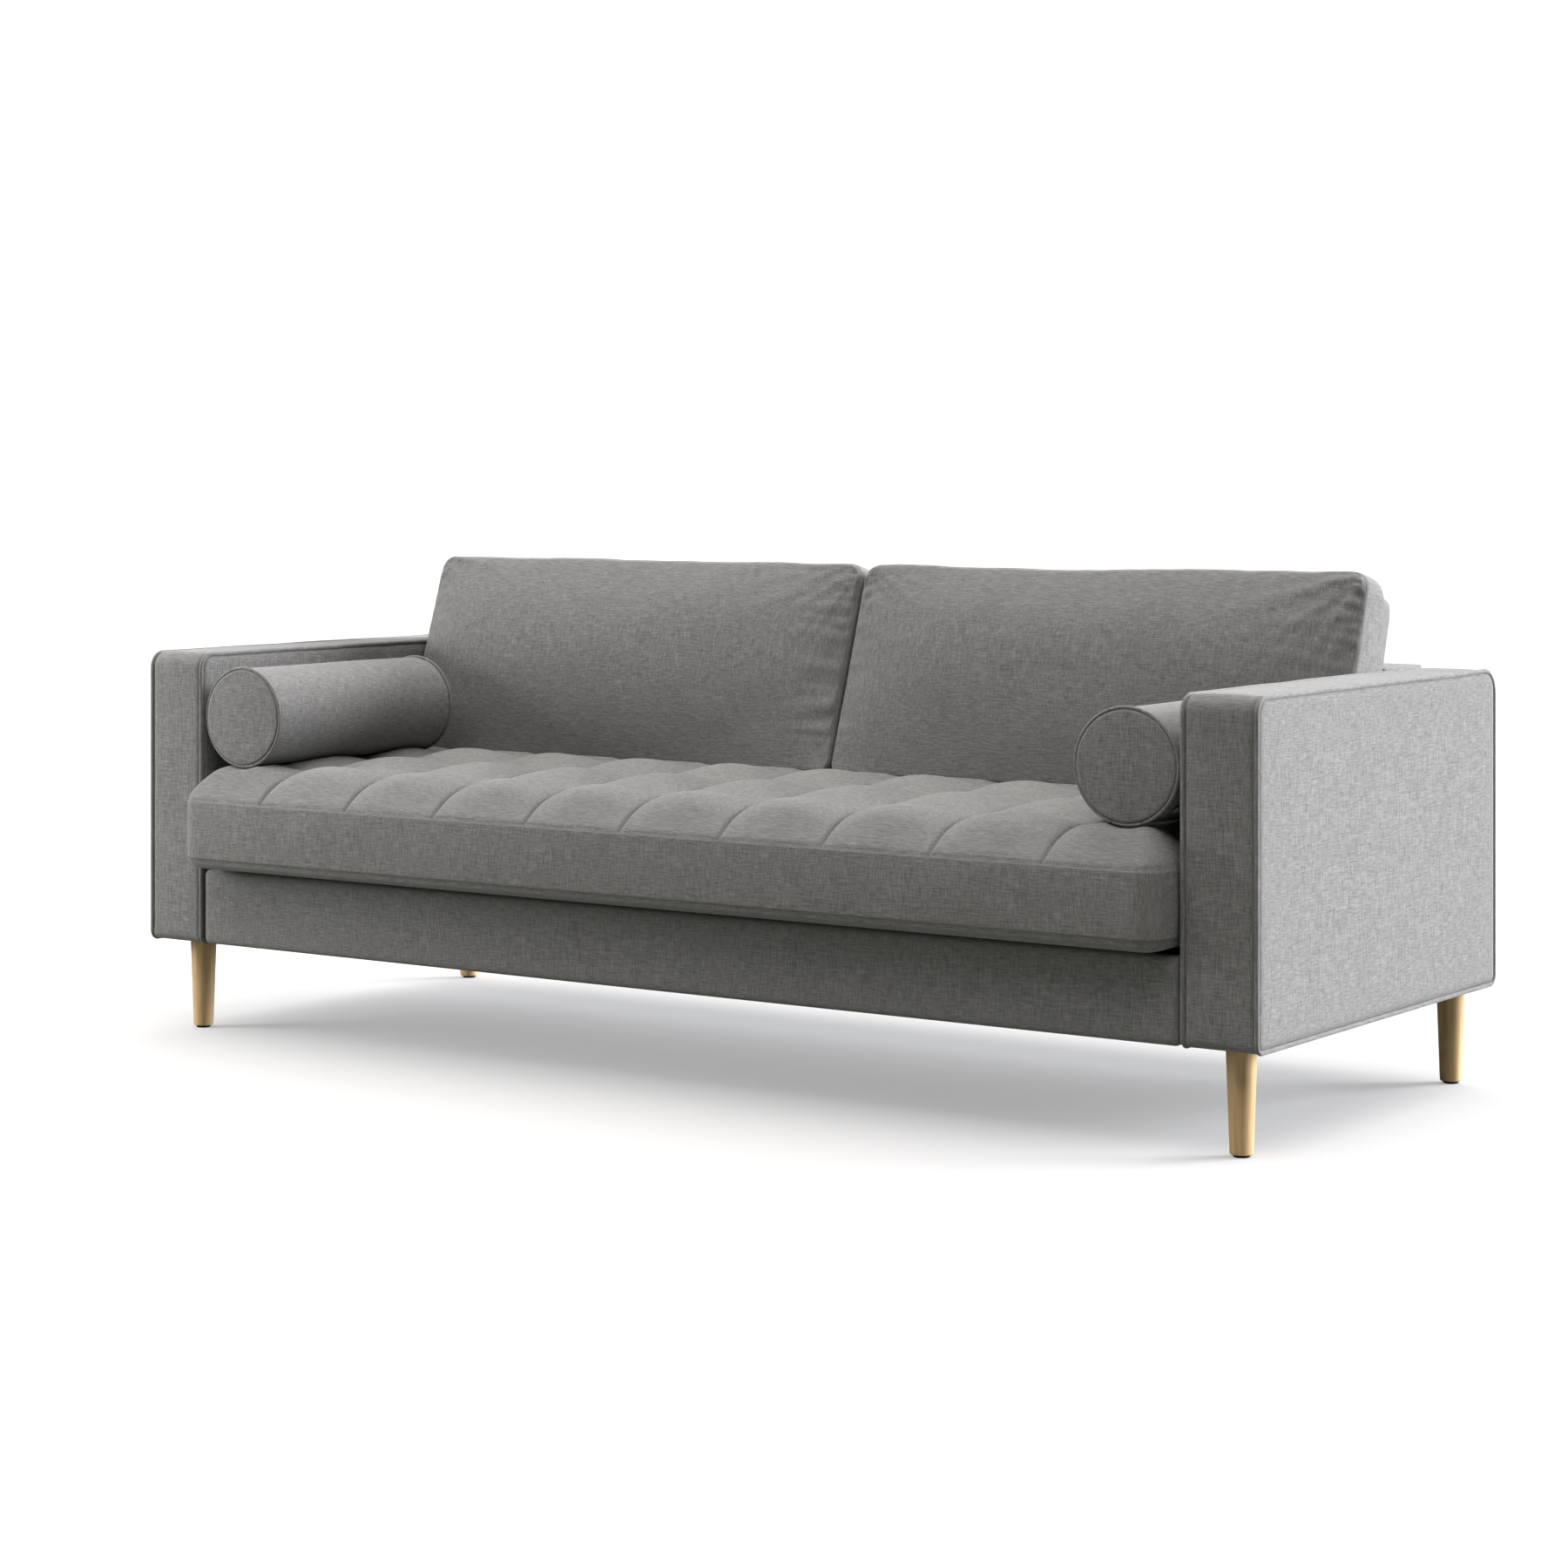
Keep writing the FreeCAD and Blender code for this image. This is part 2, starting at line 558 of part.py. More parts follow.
def bolster(side):
    """Cover, foam core and end welts of one bolster; side is -1 or 1."""
    x = side * BOLSTER_X
    y0 = BOLSTER_FRONT
    y1 = y0 + BOLSTER_LENGTH
    cover = rod_y(x, y0 + 4, y1 - 4, BOLSTER_Z, BOLSTER_R)
    cushion_end = Part.makeCone(BOLSTER_R, BOLSTER_R - 30, 4, V(x, y0 + 4, BOLSTER_Z), V(0, -1, 0))
    other_end = Part.makeCone(BOLSTER_R, BOLSTER_R - 30, 4, V(x, y1 - 4, BOLSTER_Z), V(0, 1, 0))
    cover = cover.fuse([cushion_end, other_end]).removeSplitter()
    core = rod_y(x, y0 + CORE_INSET, y1 - CORE_INSET, BOLSTER_Z, BOLSTER_R - CORE_INSET)
    room = CORE_INSET - CORE_GAP
    hollow = rod_y(x, y0 + room, y1 - room, BOLSTER_Z, BOLSTER_R - room)
    welts = []
    for y in (y0 + 4, y1 - 11):
        ring = rod_y(x, y, y + 7, BOLSTER_Z, BOLSTER_R + 3)
        welts.append(ring.cut(rod_y(x, y - 1, y + 8, BOLSTER_Z, BOLSTER_R)))
    return cover.cut(hollow), core, welts


def pillow_block(x0, x1, inset):
    """A back cushion drawn upright: foot at z 0, rear at y PILLOW_DEPTH, swollen front.

    The cover's top corners are rounded; a core cut smaller by inset has square ones.
    """
    y0 = inset
    y1 = PILLOW_DEPTH - inset
    z0 = inset
    z1 = PILLOW_HEIGHT - inset
    swell = PILLOW_CORE_CROWN if inset > 0 else PILLOW_CROWN
    edges = [Part.Arc(V(x0, y0, z0), V(x0, y0 - swell, (z0 + z1) / 2), V(x0, y0, z1)).toShape(),
             Part.LineSegment(V(x0, y0, z1), V(x0, y1 - 30, z1)).toShape(),
             Part.Arc(V(x0, y1 - 30, z1), V(x0, y1 - 9, z1 - 9), V(x0, y1, z1 - 30)).toShape(),
             Part.LineSegment(V(x0, y1, z1 - 30), V(x0, y1, z0)).toShape(),
             Part.LineSegment(V(x0, y1, z0), V(x0, y0, z0)).toShape()]
    block = Part.Face(Part.Wire(edges)).extrude(V(x1 - x0, 0, 0))
    if inset > 0:
        return block
    plan = box(x0, x1, y0 - swell - 5, y1 + 5, z0, z1)
    plan = round_along(plan, V(0, 1, 0), 26.0, lambda p: p.z > z1 - 1)
    return block.common(plan)


def zip_chain(length):
    """Tape and closed teeth of a zip along x, lying on z = 0 and standing up 2 mm."""
    tape = box(0, length, -9, 9, 0, 0.8)
    return tape.fuse(box(0, length, -2.5, 2.5, 0.8, 2.0))


def zip_slider():
    """A slider over the chain's first end, with a pull tab hanging from its bridge."""
    body = box(0, 12, -5, 5, 2.5, 5.5)
    bridge = box(3, 9, -1, 1, 5.5, 7.5)
    tab = box(7, 33, -2.5, 2.5, 6.0, 7.0)
    return body.fuse([bridge, tab]).removeSplitter()


def turned_zip(shape, angle, x, y, z, heading):
    """Turn a zip piece about its own length, then about z, and put it in place."""
    placed = shape.copy()
    placed.rotate(V(0, 0, 0), V(1, 0, 0), angle)
    placed.rotate(V(0, 0, 0), V(0, 0, 1), heading)
    placed.translate(V(x, y, z))
    return placed


def make_seat_cushion():
    save("seat_cushion_cover", seat_outer().cut(seat_foam(CORE_INSET - CORE_GAP)))
    save("seat_cushion_core", seat_foam(CORE_INSET))
    length = 1400.0
    place = (-90, -length / 2, SEAT_BACK + 0.1, 375.0, 0)
    save("seat_cushion_zip", turned_zip(zip_chain(length), *place))
    save("seat_zip_slider", turned_zip(zip_slider(), *place))


def make_bolsters():
    length = 400.0
    angle = math.radians(45)
    for name, side in (("left", -1), ("right", 1)):
        cover, core, welts = bolster(side)
        save("bolster_cover_" + name, cover)
        save("bolster_core_" + name, core)
        save("bolster_welts_" + name, *welts)
        reach = BOLSTER_R + 0.2
        x = side * (BOLSTER_X + reach * math.sin(angle))
        z = BOLSTER_Z - reach * math.cos(angle)
        place = (180 - side * 45, x, BOLSTER_FRONT + 41, z, 90)
        slim = zip_chain(length).common(box(0, length, -4, 4, 0, 3))
        save("bolster_zip_" + name, turned_zip(slim, *place))
        save("bolster_zip_slider_" + name, turned_zip(zip_slider(), *place))


def make_back_cushions():
    length = 760.0
    for name, side in (("left", -1), ("right", 1)):
        x0 = PILLOW_GAP if side > 0 else -PILLOW_OUTER
        x1 = PILLOW_OUTER if side > 0 else -PILLOW_GAP
        room = CORE_INSET - CORE_GAP
        cover = pillow_block(x0, x1, 0).cut(pillow_block(x0 + room, x1 - room, room))
        save("back_cushion_cover_" + name, lean(cover))
        core = pillow_block(x0 + CORE_INSET, x1 - CORE_INSET, CORE_INSET)
        save("back_cushion_core_" + name, lean(core))
        middle = (x0 + x1) / 2
        place = (180, middle - length / 2, PILLOW_DEPTH - 16, -0.1, 0)
        save("back_cushion_zip_" + name, lean(turned_zip(zip_chain(length), *place)))
        save("back_zip_slider_" + name, lean(turned_zip(zip_slider(), *place)))


os.makedirs("parts", exist_ok=True)
make_arms()
make_arm_fasteners()
make_seat_frame()
make_back()
make_legs()
make_seat_cushion()
make_bolsters()
make_back_cushions()
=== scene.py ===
import bmesh
import bpy
import json
import math
import numpy as np
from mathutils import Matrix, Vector, noise


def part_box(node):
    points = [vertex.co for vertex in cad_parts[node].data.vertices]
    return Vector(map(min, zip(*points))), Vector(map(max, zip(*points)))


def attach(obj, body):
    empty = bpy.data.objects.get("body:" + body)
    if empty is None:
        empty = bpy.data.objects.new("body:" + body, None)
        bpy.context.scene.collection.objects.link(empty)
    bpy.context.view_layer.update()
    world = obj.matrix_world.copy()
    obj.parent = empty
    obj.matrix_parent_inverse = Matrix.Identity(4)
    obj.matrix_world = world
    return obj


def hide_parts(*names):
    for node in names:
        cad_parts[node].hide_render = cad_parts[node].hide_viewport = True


# The looks of the sofa: woven grey covers with sewn seams and piping, turned oak legs, and the
# timber, springs and foam inside. Metres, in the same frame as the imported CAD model.

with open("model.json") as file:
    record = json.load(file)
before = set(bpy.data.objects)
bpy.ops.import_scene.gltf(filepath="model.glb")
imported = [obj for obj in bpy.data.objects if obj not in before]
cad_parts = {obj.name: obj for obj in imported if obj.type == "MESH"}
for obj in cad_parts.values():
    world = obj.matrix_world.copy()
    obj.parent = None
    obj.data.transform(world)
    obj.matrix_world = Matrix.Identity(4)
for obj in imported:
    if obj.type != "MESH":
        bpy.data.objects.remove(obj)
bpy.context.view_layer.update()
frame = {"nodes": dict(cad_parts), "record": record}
nodes = frame["nodes"]

MM = 0.001
SIDES = (("left", -1), ("right", 1))

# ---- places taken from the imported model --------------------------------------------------
ARM_LOW, ARM_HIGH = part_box("arm_welts_right")
RAIL_LOW, RAIL_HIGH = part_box("front_rail_cover")
SEAT_LOW, SEAT_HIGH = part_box("seat_cushion_cover")
LEAN = math.radians(18.5)


def mid(low, high):
    return (low + high) / 2


# ---- mesh helpers ------------------------------------------------------------------------
def make_piece(name, points, faces, smooth=True):
    mesh = bpy.data.meshes.new(name)
    mesh.from_pydata([tuple(p) for p in points], [], [tuple(f) for f in faces])
    mesh.validate()
    mesh.update()
    for polygon in mesh.polygons:
        polygon.use_smooth = smooth
    piece = bpy.data.objects.new(name, mesh)
    bpy.context.scene.collection.objects.link(piece)
    return piece


def box_grid(counts):
    """The surface of a box as quads. Returns grid places (n x 3, each 0 to 1) and faces."""
    index = {}
    places = []

    def at(i, j, k):
        key = (i, j, k)
        if key not in index:
            index[key] = len(places)
            places.append((i / counts[0], j / counts[1], k / counts[2]))
        return index[key]

    faces = []
    nx, ny, nz = counts
    for i in range(nx):
        for j in range(ny):
            faces.append((at(i, j, 0), at(i, j + 1, 0), at(i + 1, j + 1, 0), at(i + 1, j, 0)))
            faces.append((at(i, j, nz), at(i + 1, j, nz), at(i + 1, j + 1, nz), at(i, j + 1, nz)))
    for i in range(nx):
        for k in range(nz):
            faces.append((at(i, 0, k), at(i + 1, 0, k), at(i + 1, 0, k + 1), at(i, 0, k + 1)))
            faces.append((at(i, ny, k), at(i, ny, k + 1), at(i + 1, ny, k + 1), at(i + 1, ny, k)))
    for j in range(ny):
        for k in range(nz):
            faces.append((at(0, j, k), at(0, j, k + 1), at(0, j + 1, k + 1), at(0, j + 1, k)))
            faces.append((at(nx, j, k), at(nx, j + 1, k), at(nx, j + 1, k + 1), at(nx, j, k + 1)))
    return np.array(places), faces


def round_corner(a, b, limit_a, limit_b, radius):
    """Move points past both limits less radius onto a round corner, keeping the grid in order."""
    da = a - (limit_a - radius)
    db = b - (limit_b - radius)
    inside = (da > 0) & (db > 0)
    longest = np.maximum(np.maximum(da, db), 1e-9)
    scale = np.where(inside, longest / np.maximum(np.hypot(da, db), 1e-9), 1.0)
    return (np.where(inside, limit_a - radius + da * scale, a),
            np.where(inside, limit_b - radius + db * scale, b))


def round_plan(a, b, half_a, half_b, radius):
    """Round all four corners of a rectangle centred on zero."""
    new_a, new_b = round_corner(np.abs(a), np.abs(b), half_a, half_b, radius)
    return np.copysign(new_a, a), np.copysign(new_b, b)


def fbm(points, scale, seed, octaves=2):
    """Smooth noise, about -1 to 1, at each point."""
    shift = Vector((seed * 7.31, seed * 3.17, seed * 5.73))
    values = [noise.fractal(Vector(p) * scale + shift, 0.9, 2.0, octaves) for p in points]
    return np.array(values)


def subdivide(piece):
    modifier = piece.modifiers.new("finer", "SUBSURF")
    modifier.levels = 1
    modifier.render_levels = 1
    apply_modifiers(piece)


def apply_modifiers(piece):
    depsgraph = bpy.context.evaluated_depsgraph_get()
    mesh = bpy.data.meshes.new_from_object(piece.evaluated_get(depsgraph))
    piece.modifiers.clear()
    piece.data = mesh
    for polygon in mesh.polygons:
        polygon.use_smooth = True


def get_points(piece):
    flat = np.zeros(len(piece.data.vertices) * 3)
    piece.data.vertices.foreach_get("co", flat)
    return flat.reshape(-1, 3)


def set_points(piece, points):
    piece.data.vertices.foreach_set("co", np.asarray(points, float).ravel())
    piece.data.update()


# ---- cloth simulation --------------------------------------------------------------------
CLOTH_FRAMES = 20
CLOTH_STIFFNESS = 12.0
CLOTH_BENDING = 2.5
SMOOTHING_ROUNDS = 60


def smoothed(piece, moved, pinned):
    """Even out a movement over the mesh, so that its small wrinkles go and its broad swell stays."""
    ends = np.zeros(len(piece.data.edges) * 2, int)
    piece.data.edges.foreach_get("vertices", ends)
    first, second = ends[0::2], ends[1::2]
    count = len(moved)
    degree = np.bincount(ends, minlength=count)
    for _ in range(SMOOTHING_ROUNDS):
        total = np.stack([np.bincount(first, moved[second, axis], count)
                          + np.bincount(second, moved[first, axis], count) for axis in range(3)], 1)
        moved = (moved + total / degree[:, None]) / 2
        moved[pinned] = 0
    return moved


def inflate(piece, pinned, pressure, spare_cloth, cap):
    """Blow a closed cover up like a filled cushion, with its seams held, then keep the shape."""
    start = get_points(piece)
    group = piece.vertex_groups.new(name="seams")
    for index in np.nonzero(pinned)[0]:
        group.add([int(index)], 1.0, "REPLACE")
    modifier = piece.modifiers.new("cloth", "CLOTH")
    cloth = modifier.settings
    cloth.quality = 6
    cloth.mass = 0.25
    cloth.tension_stiffness = CLOTH_STIFFNESS
    cloth.compression_stiffness = CLOTH_STIFFNESS
    cloth.shear_stiffness = CLOTH_STIFFNESS / 2
    cloth.bending_stiffness = CLOTH_BENDING
    cloth.air_damping = 2.0
    cloth.use_pressure = True
    cloth.uniform_pressure_force = pressure
    cloth.shrink_min = -spare_cloth
    cloth.shrink_max = -spare_cloth
    cloth.vertex_group_mass = "seams"
    cloth.pin_stiffness = 1.0
    cloth.effector_weights.gravity = 0.0
    modifier.collision_settings.use_collision = False
    modifier.collision_settings.use_self_collision = False
    modifier.point_cache.frame_start = 1
    modifier.point_cache.frame_end = CLOTH_FRAMES
    for number in range(1, CLOTH_FRAMES + 1):
        bpy.context.scene.frame_set(number)
    apply_modifiers(piece)
    moved = get_points(piece) - start
    length = np.linalg.norm(moved, axis=1)
    limit = np.minimum(1.0, cap / np.maximum(length, 1e-9))
    set_points(piece, start + smoothed(piece, moved * limit[:, None], pinned))
    piece.vertex_groups.clear()
    bpy.context.scene.frame_set(1)


# ---- materials ---------------------------------------------------------------------------
def new_material(name, color, roughness, metallic=0.0, specular=0.5):
    material = bpy.data.materials.new(name)
    material.use_nodes = True
    shader = material.node_tree.nodes["Principled BSDF"]
    shader.inputs["Base Color"].default_value = (*color, 1.0)
    shader.inputs["Roughness"].default_value = roughness
    shader.inputs["Metallic"].default_value = metallic
    shader.inputs["Specular IOR Level"].default_value = specular
    return material, material.node_tree, shader


def object_vector(tree, scale, rotation=(0.0, 0.0, 0.0)):
    place = tree.nodes.new("ShaderNodeTexCoord")
    mapping = tree.nodes.new("ShaderNodeMapping")
    mapping.inputs["Rotation"].default_value = rotation
    mapping.inputs["Scale"].default_value = scale
    tree.links.new(place.outputs["Object"], mapping.inputs["Vector"])
    return mapping.outputs["Vector"]


def noise_node(tree, vector, detail, roughness=0.5):
    node = tree.nodes.new("ShaderNodeTexNoise")
    node.inputs["Scale"].default_value = 1.0
    node.inputs["Detail"].default_value = detail
    node.inputs["Roughness"].default_value = roughness
    tree.links.new(vector, node.inputs["Vector"])
    return node.outputs["Fac"]


def math_node(tree, operation, a, b=0.0):
    node = tree.nodes.new("ShaderNodeMath")
    node.operation = operation
    for socket, value in zip(node.inputs, (a, b)):
        if isinstance(value, (int, float)):
            socket.default_value = value
        else:
            tree.links.new(value, socket)
    return node.outputs[0]


def ramp_node(tree, value, stops):
    node = tree.nodes.new("ShaderNodeValToRGB")
    elements = node.color_ramp.elements
    while len(elements) < len(stops):
        elements.new(0.5)
    for element, (position, color) in zip(elements, stops):
        element.position = position
        element.color = (*color, 1.0)
    tree.links.new(value, node.inputs["Fac"])
    return node.outputs["Color"]


def bump_node(tree, shader, height, distance, strength):
    node = tree.nodes.new("ShaderNodeBump")
    node.inputs["Distance"].default_value = distance
    node.inputs["Strength"].default_value = strength
    tree.links.new(height, node.inputs["Height"])
    tree.links.new(node.outputs["Normal"], shader.inputs["Normal"])


def roll_vector(tree, centre_x, centre_z, radius):
    """Cloth coordinates on a roll along y: round the roll in x and along it in y."""
    place = tree.nodes.new("ShaderNodeTexCoord")
    split = tree.nodes.new("ShaderNodeSeparateXYZ")
    tree.links.new(place.outputs["Object"], split.inputs["Vector"])
    across = math_node(tree, "SUBTRACT", split.outputs["X"], centre_x)
    up = math_node(tree, "SUBTRACT", split.outputs["Z"], centre_z)
    angle = math_node(tree, "ARCTAN2", across, up)
    join = tree.nodes.new("ShaderNodeCombineXYZ")
    tree.links.new(math_node(tree, "MULTIPLY", angle, radius), join.inputs["X"])
    tree.links.new(split.outputs["Y"], join.inputs["Y"])
    join.inputs["Z"].default_value = 0.3
    return join.outputs["Vector"]


def scaled_vector(tree, vector, scale):
    mapping = tree.nodes.new("ShaderNodeMapping")
    mapping.inputs["Scale"].default_value = scale
    tree.links.new(vector, mapping.inputs["Vector"])
    return mapping.outputs["Vector"]


THREAD = 520.0                # noise scale across a thread, per metre
SLUB = 52.0                   # noise scale along a thread, which gives its slubs their length
YARN_CONTRAST = 0.58
DARK_YARN = (0.102, 0.102, 0.097)
MIDDLE_YARN = (0.192, 0.189, 0.184)
PALE_YARN = (0.305, 0.300, 0.293)


def surface_facing(tree, tilt):
    """How squarely a surface faces along each axis of the cloth, 0 to 1."""
    place = tree.nodes.new("ShaderNodeTexCoord")
    mapping = tree.nodes.new("ShaderNodeMapping")
    mapping.vector_type = "VECTOR"
    mapping.inputs["Rotation"].default_value = (tilt, 0, 0)
    tree.links.new(place.outputs["Normal"], mapping.inputs["Vector"])
    split = tree.nodes.new("ShaderNodeSeparateXYZ")
    tree.links.new(mapping.outputs["Vector"], split.inputs["Vector"])
    return [math_node(tree, "ABSOLUTE", split.outputs[axis]) for axis in ("X", "Y", "Z")]


def woven_fabric(name, tilt=0.0, roll=None):
    """Melange weave: uneven light and dark yarns that cross at right angles, with slubs.

    On each face only the threads that lie in it show. tilt turns the threads with a leaning
    cushion, and roll wraps them round a bolster.
    """
    material, tree, shader = new_material(name, MIDDLE_YARN, 0.88, specular=0.22)
    shader.inputs["Sheen Weight"].default_value = 0.20
    shader.inputs["Sheen Roughness"].default_value = 0.5
    if roll:
        base = roll_vector(tree, *roll)
        facing = (0.0, 0.0, 1.0)
    else:
        base = object_vector(tree, (1, 1, 1), (tilt, 0, 0))
        facing = surface_facing(tree, tilt)
    total = 0.5
    for axis in range(3):
        fine = [THREAD] * 3
        fine[axis] = SLUB
        yarn = noise_node(tree, scaled_vector(tree, base, fine), detail=1.5, roughness=0.6)
        uneven = math_node(tree, "MULTIPLY", math_node(tree, "SUBTRACT", yarn, 0.5), YARN_CONTRAST)
        lying = math_node(tree, "SUBTRACT", 1.0, facing[axis])
        total = math_node(tree, "ADD", math_node(tree, "MULTIPLY", uneven, lying), total)
    color = ramp_node(tree, total, [(0.26, DARK_YARN), (0.50, MIDDLE_YARN), (0.76, PALE_YARN)])
    tree.links.new(color, shader.inputs["Base Color"])
    bump_node(tree, shader, total, 0.0010, 0.6)
    return material


def oak_wood(name):
    material, tree, shader = new_material(name, (0.5, 0.32, 0.16), 0.42, specular=0.4)
    fine = noise_node(tree, object_vector(tree, (900, 900, 14)), detail=3.0, roughness=0.6)
    grain = noise_node(tree, object_vector(tree, (130, 130, 5)), detail=3.0, roughness=0.55)
    pores = noise_node(tree, object_vector(tree, (1500, 1500, 70)), detail=1.0)
    tone = math_node(tree, "ADD", math_node(tree, "MULTIPLY", grain, 0.7),
                     math_node(tree, "MULTIPLY", fine, 0.3))
    color = ramp_node(tree, tone, [(0.30, (0.52, 0.32, 0.14)), (0.50, (0.74, 0.50, 0.25)),
                                   (0.70, (0.85, 0.62, 0.34))])
    tree.links.new(color, shader.inputs["Base Color"])
    bump_node(tree, shader, pores, 0.0002, 0.5)
    return material


def plain_wood(name, dark, pale, axis_scale):
    material, tree, shader = new_material(name, pale, 0.7, specular=0.3)
    grain = noise_node(tree, object_vector(tree, axis_scale), detail=4.0, roughness=0.6)
    tree.links.new(ramp_node(tree, grain, [(0.32, dark), (0.68, pale)]), shader.inputs["Base Color"])
    bump_node(tree, shader, grain, 0.0004, 0.5)
    return material


def soft_stuff(name, dark, pale, scale, bump=0.0008):
    material, tree, shader = new_material(name, pale, 0.95, specular=0.1)
    value = noise_node(tree, object_vector(tree, (scale, scale, scale)), detail=3.0, roughness=0.65)
    tree.links.new(ramp_node(tree, value, [(0.3, dark), (0.7, pale)]), shader.inputs["Base Color"])
    bump_node(tree, shader, value, bump, 0.7)
    return material


def metal(name, color, roughness):
    material, tree, shader = new_material(name, color, roughness, metallic=1.0)
    value = noise_node(tree, object_vector(tree, (160, 160, 160)), detail=3.0)
    dark = tuple(c * 0.8 for c in color)
    tree.links.new(ramp_node(tree, value, [(0.3, dark), (0.7, color)]), shader.inputs["Base Color"])
    bump_node(tree, shader, value, 0.0002, 0.3)
    return material


fabric = woven_fabric("upholstery_fabric")
fabric_leaning = woven_fabric("back_cushion_fabric", tilt=LEAN)
FINISHES = {
    "oak": oak_wood("turned_oak"),
    "frame_timber": plain_wood("sawn_softwood", (0.42, 0.27, 0.13), (0.66, 0.48, 0.28), (6, 60, 60)),
    "plywood": plain_wood("birch_plywood", (0.50, 0.36, 0.20), (0.72, 0.56, 0.36), (160, 20, 20)),
    "fibreboard": plain_wood("hardboard", (0.16, 0.09, 0.045), (0.26, 0.16, 0.085), (90, 90, 90)),
    "foam": soft_stuff("foam", (0.62, 0.58, 0.46), (0.78, 0.75, 0.64), 260),
    "felt": soft_stuff("needled_felt", (0.05, 0.05, 0.055), (0.14, 0.14, 0.15), 420),
    "webbing": soft_stuff("elastic_webbing", (0.02, 0.02, 0.022), (0.05, 0.05, 0.055), 500),
    "dust_cloth": soft_stuff("dust_cloth", (0.010, 0.010, 0.011), (0.028, 0.028, 0.03), 600, 0.0003),
    "deck_cloth": soft_stuff("deck_cloth", (0.03, 0.03, 0.032), (0.07, 0.07, 0.072), 500, 0.0003),
    "spring_steel": metal("spring_steel", (0.30, 0.30, 0.31), 0.38),
    "zinc_steel": metal("zinc_steel", (0.62, 0.62, 0.64), 0.32),
    "glide_plastic": soft_stuff("glide_nylon", (0.018, 0.012, 0.008), (0.035, 0.024, 0.016), 300,
                                0.0001),
    "zip_tape": soft_stuff("zip_tape", (0.04, 0.04, 0.042), (0.10, 0.10, 0.105), 700, 0.0004),
    "zip_metal": metal("zip_metal", (0.45, 0.45, 0.47), 0.35),
    "upholstery": fabric,
}
for entry in frame["record"]["subparts"]:
    cad_node = nodes[entry["node"]]
    cad_node.data.materials.clear()
    cad_node.data.materials.append(FINISHES[entry["material_slot"]])


def finish_cover(piece, body, replaced, material=None):
    """Every cover made here: its finish, the body it moves with and the CAD nodes it stands for."""
    piece.data.materials.clear()
    piece.data.materials.append(material or fabric)
    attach(piece, body)
    if replaced:
        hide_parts(*replaced)


# ---- piping ------------------------------------------------------------------------------
def rounded_loop(low_a, high_a, low_b, high_b, radii, step):
    """Points round a rectangle in a plane, with its own radius at each corner.

    radii runs: low a low b, high a low b, high a high b, low a high b.
    """
    centres = ((low_a + radii[0], low_b + radii[0], 180), (high_a - radii[1], low_b + radii[1], 270),
               (high_a - radii[2], high_b - radii[2], 0), (low_a + radii[3], high_b - radii[3], 90))
    corners = []
    for (a, b, start), radius in zip(centres, radii):
        turns = [math.radians(start + 90 * t / 8) for t in range(9)]
        corners += [(a + radius * math.cos(t), b + radius * math.sin(t)) for t in turns]
    points = []
    for first, second in zip(corners, corners[1:] + corners[:1]):
        run = math.dist(first, second)
        pieces = max(1, round(run / step))
        for n in range(pieces):
            t = n / pieces
            points.append((first[0] + (second[0] - first[0]) * t,
                           first[1] + (second[1] - first[1]) * t))
    return points


def tube_rings(path, radius, sides):
    """Vertices and faces of a tube along a closed path."""
    count = len(path)
    vertices = []
    for n, point in enumerate(path):
        along = (path[(n + 1) % count] - path[n - 1]).normalized()
        side = along.cross(Vector((1, 0, 0)))
        if side.length < 0.3:
            side = along.cross(Vector((0, 1, 0)))
        side.normalize()
        other = along.cross(side)
        for k in range(sides):
            turn = 2 * math.pi * k / sides
            vertices.append(point + side * (radius * math.cos(turn))
                            + other * (radius * math.sin(turn)))
    faces = []
    for n in range(count):
        m = (n + 1) % count
        for k in range(sides):
            j = (k + 1) % sides
            faces.append((n * sides + k, n * sides + j, m * sides + j, m * sides + k))
    return vertices, faces


# ---- arms --------------------------------------------------------------------------------
WELT_R = 3.9 * MM
WELT_BED = 6.6 * MM           # how far each side panel stops short of the arm's edge
WELT_SIDES = 12
ARM_CORNERS = (14 * MM, 16 * MM, 38 * MM, 26 * MM)   # front and rear below, rear and front above
PANEL_QUADS = (110, 2, 68)
PANEL_UPPER_CORNER = 27 * MM
PANEL_LOWER_CORNER = 9 * MM
PANEL_DEPTH = 7 * MM
STRIP_INSET = 2.2 * MM        # how far the boxing strip lies inside the arm's outline
STRIP_QUADS = 22
STRIP_TURN_UNDER = 13 * MM
DIP_FRONT = 3.4 * MM          # how far the strip draws in beside its welts
DIP_ELSEWHERE = 1.4 * MM


def arm_wave(y, z):
    """Slight unevenness of the sewn edge, strongest at the top towards the rear."""
    rearward = max(0.0, (y - ARM_LOW.y) / (ARM_HIGH.y - ARM_LOW.y))
    share = 1.0 if z > 0.6 else 0.25
    wave = noise.noise(Vector((y * 9.0, z * 9.0, 2.7)))
    return wave * (0.6 + 2.2 * rearward ** 3) * MM * share


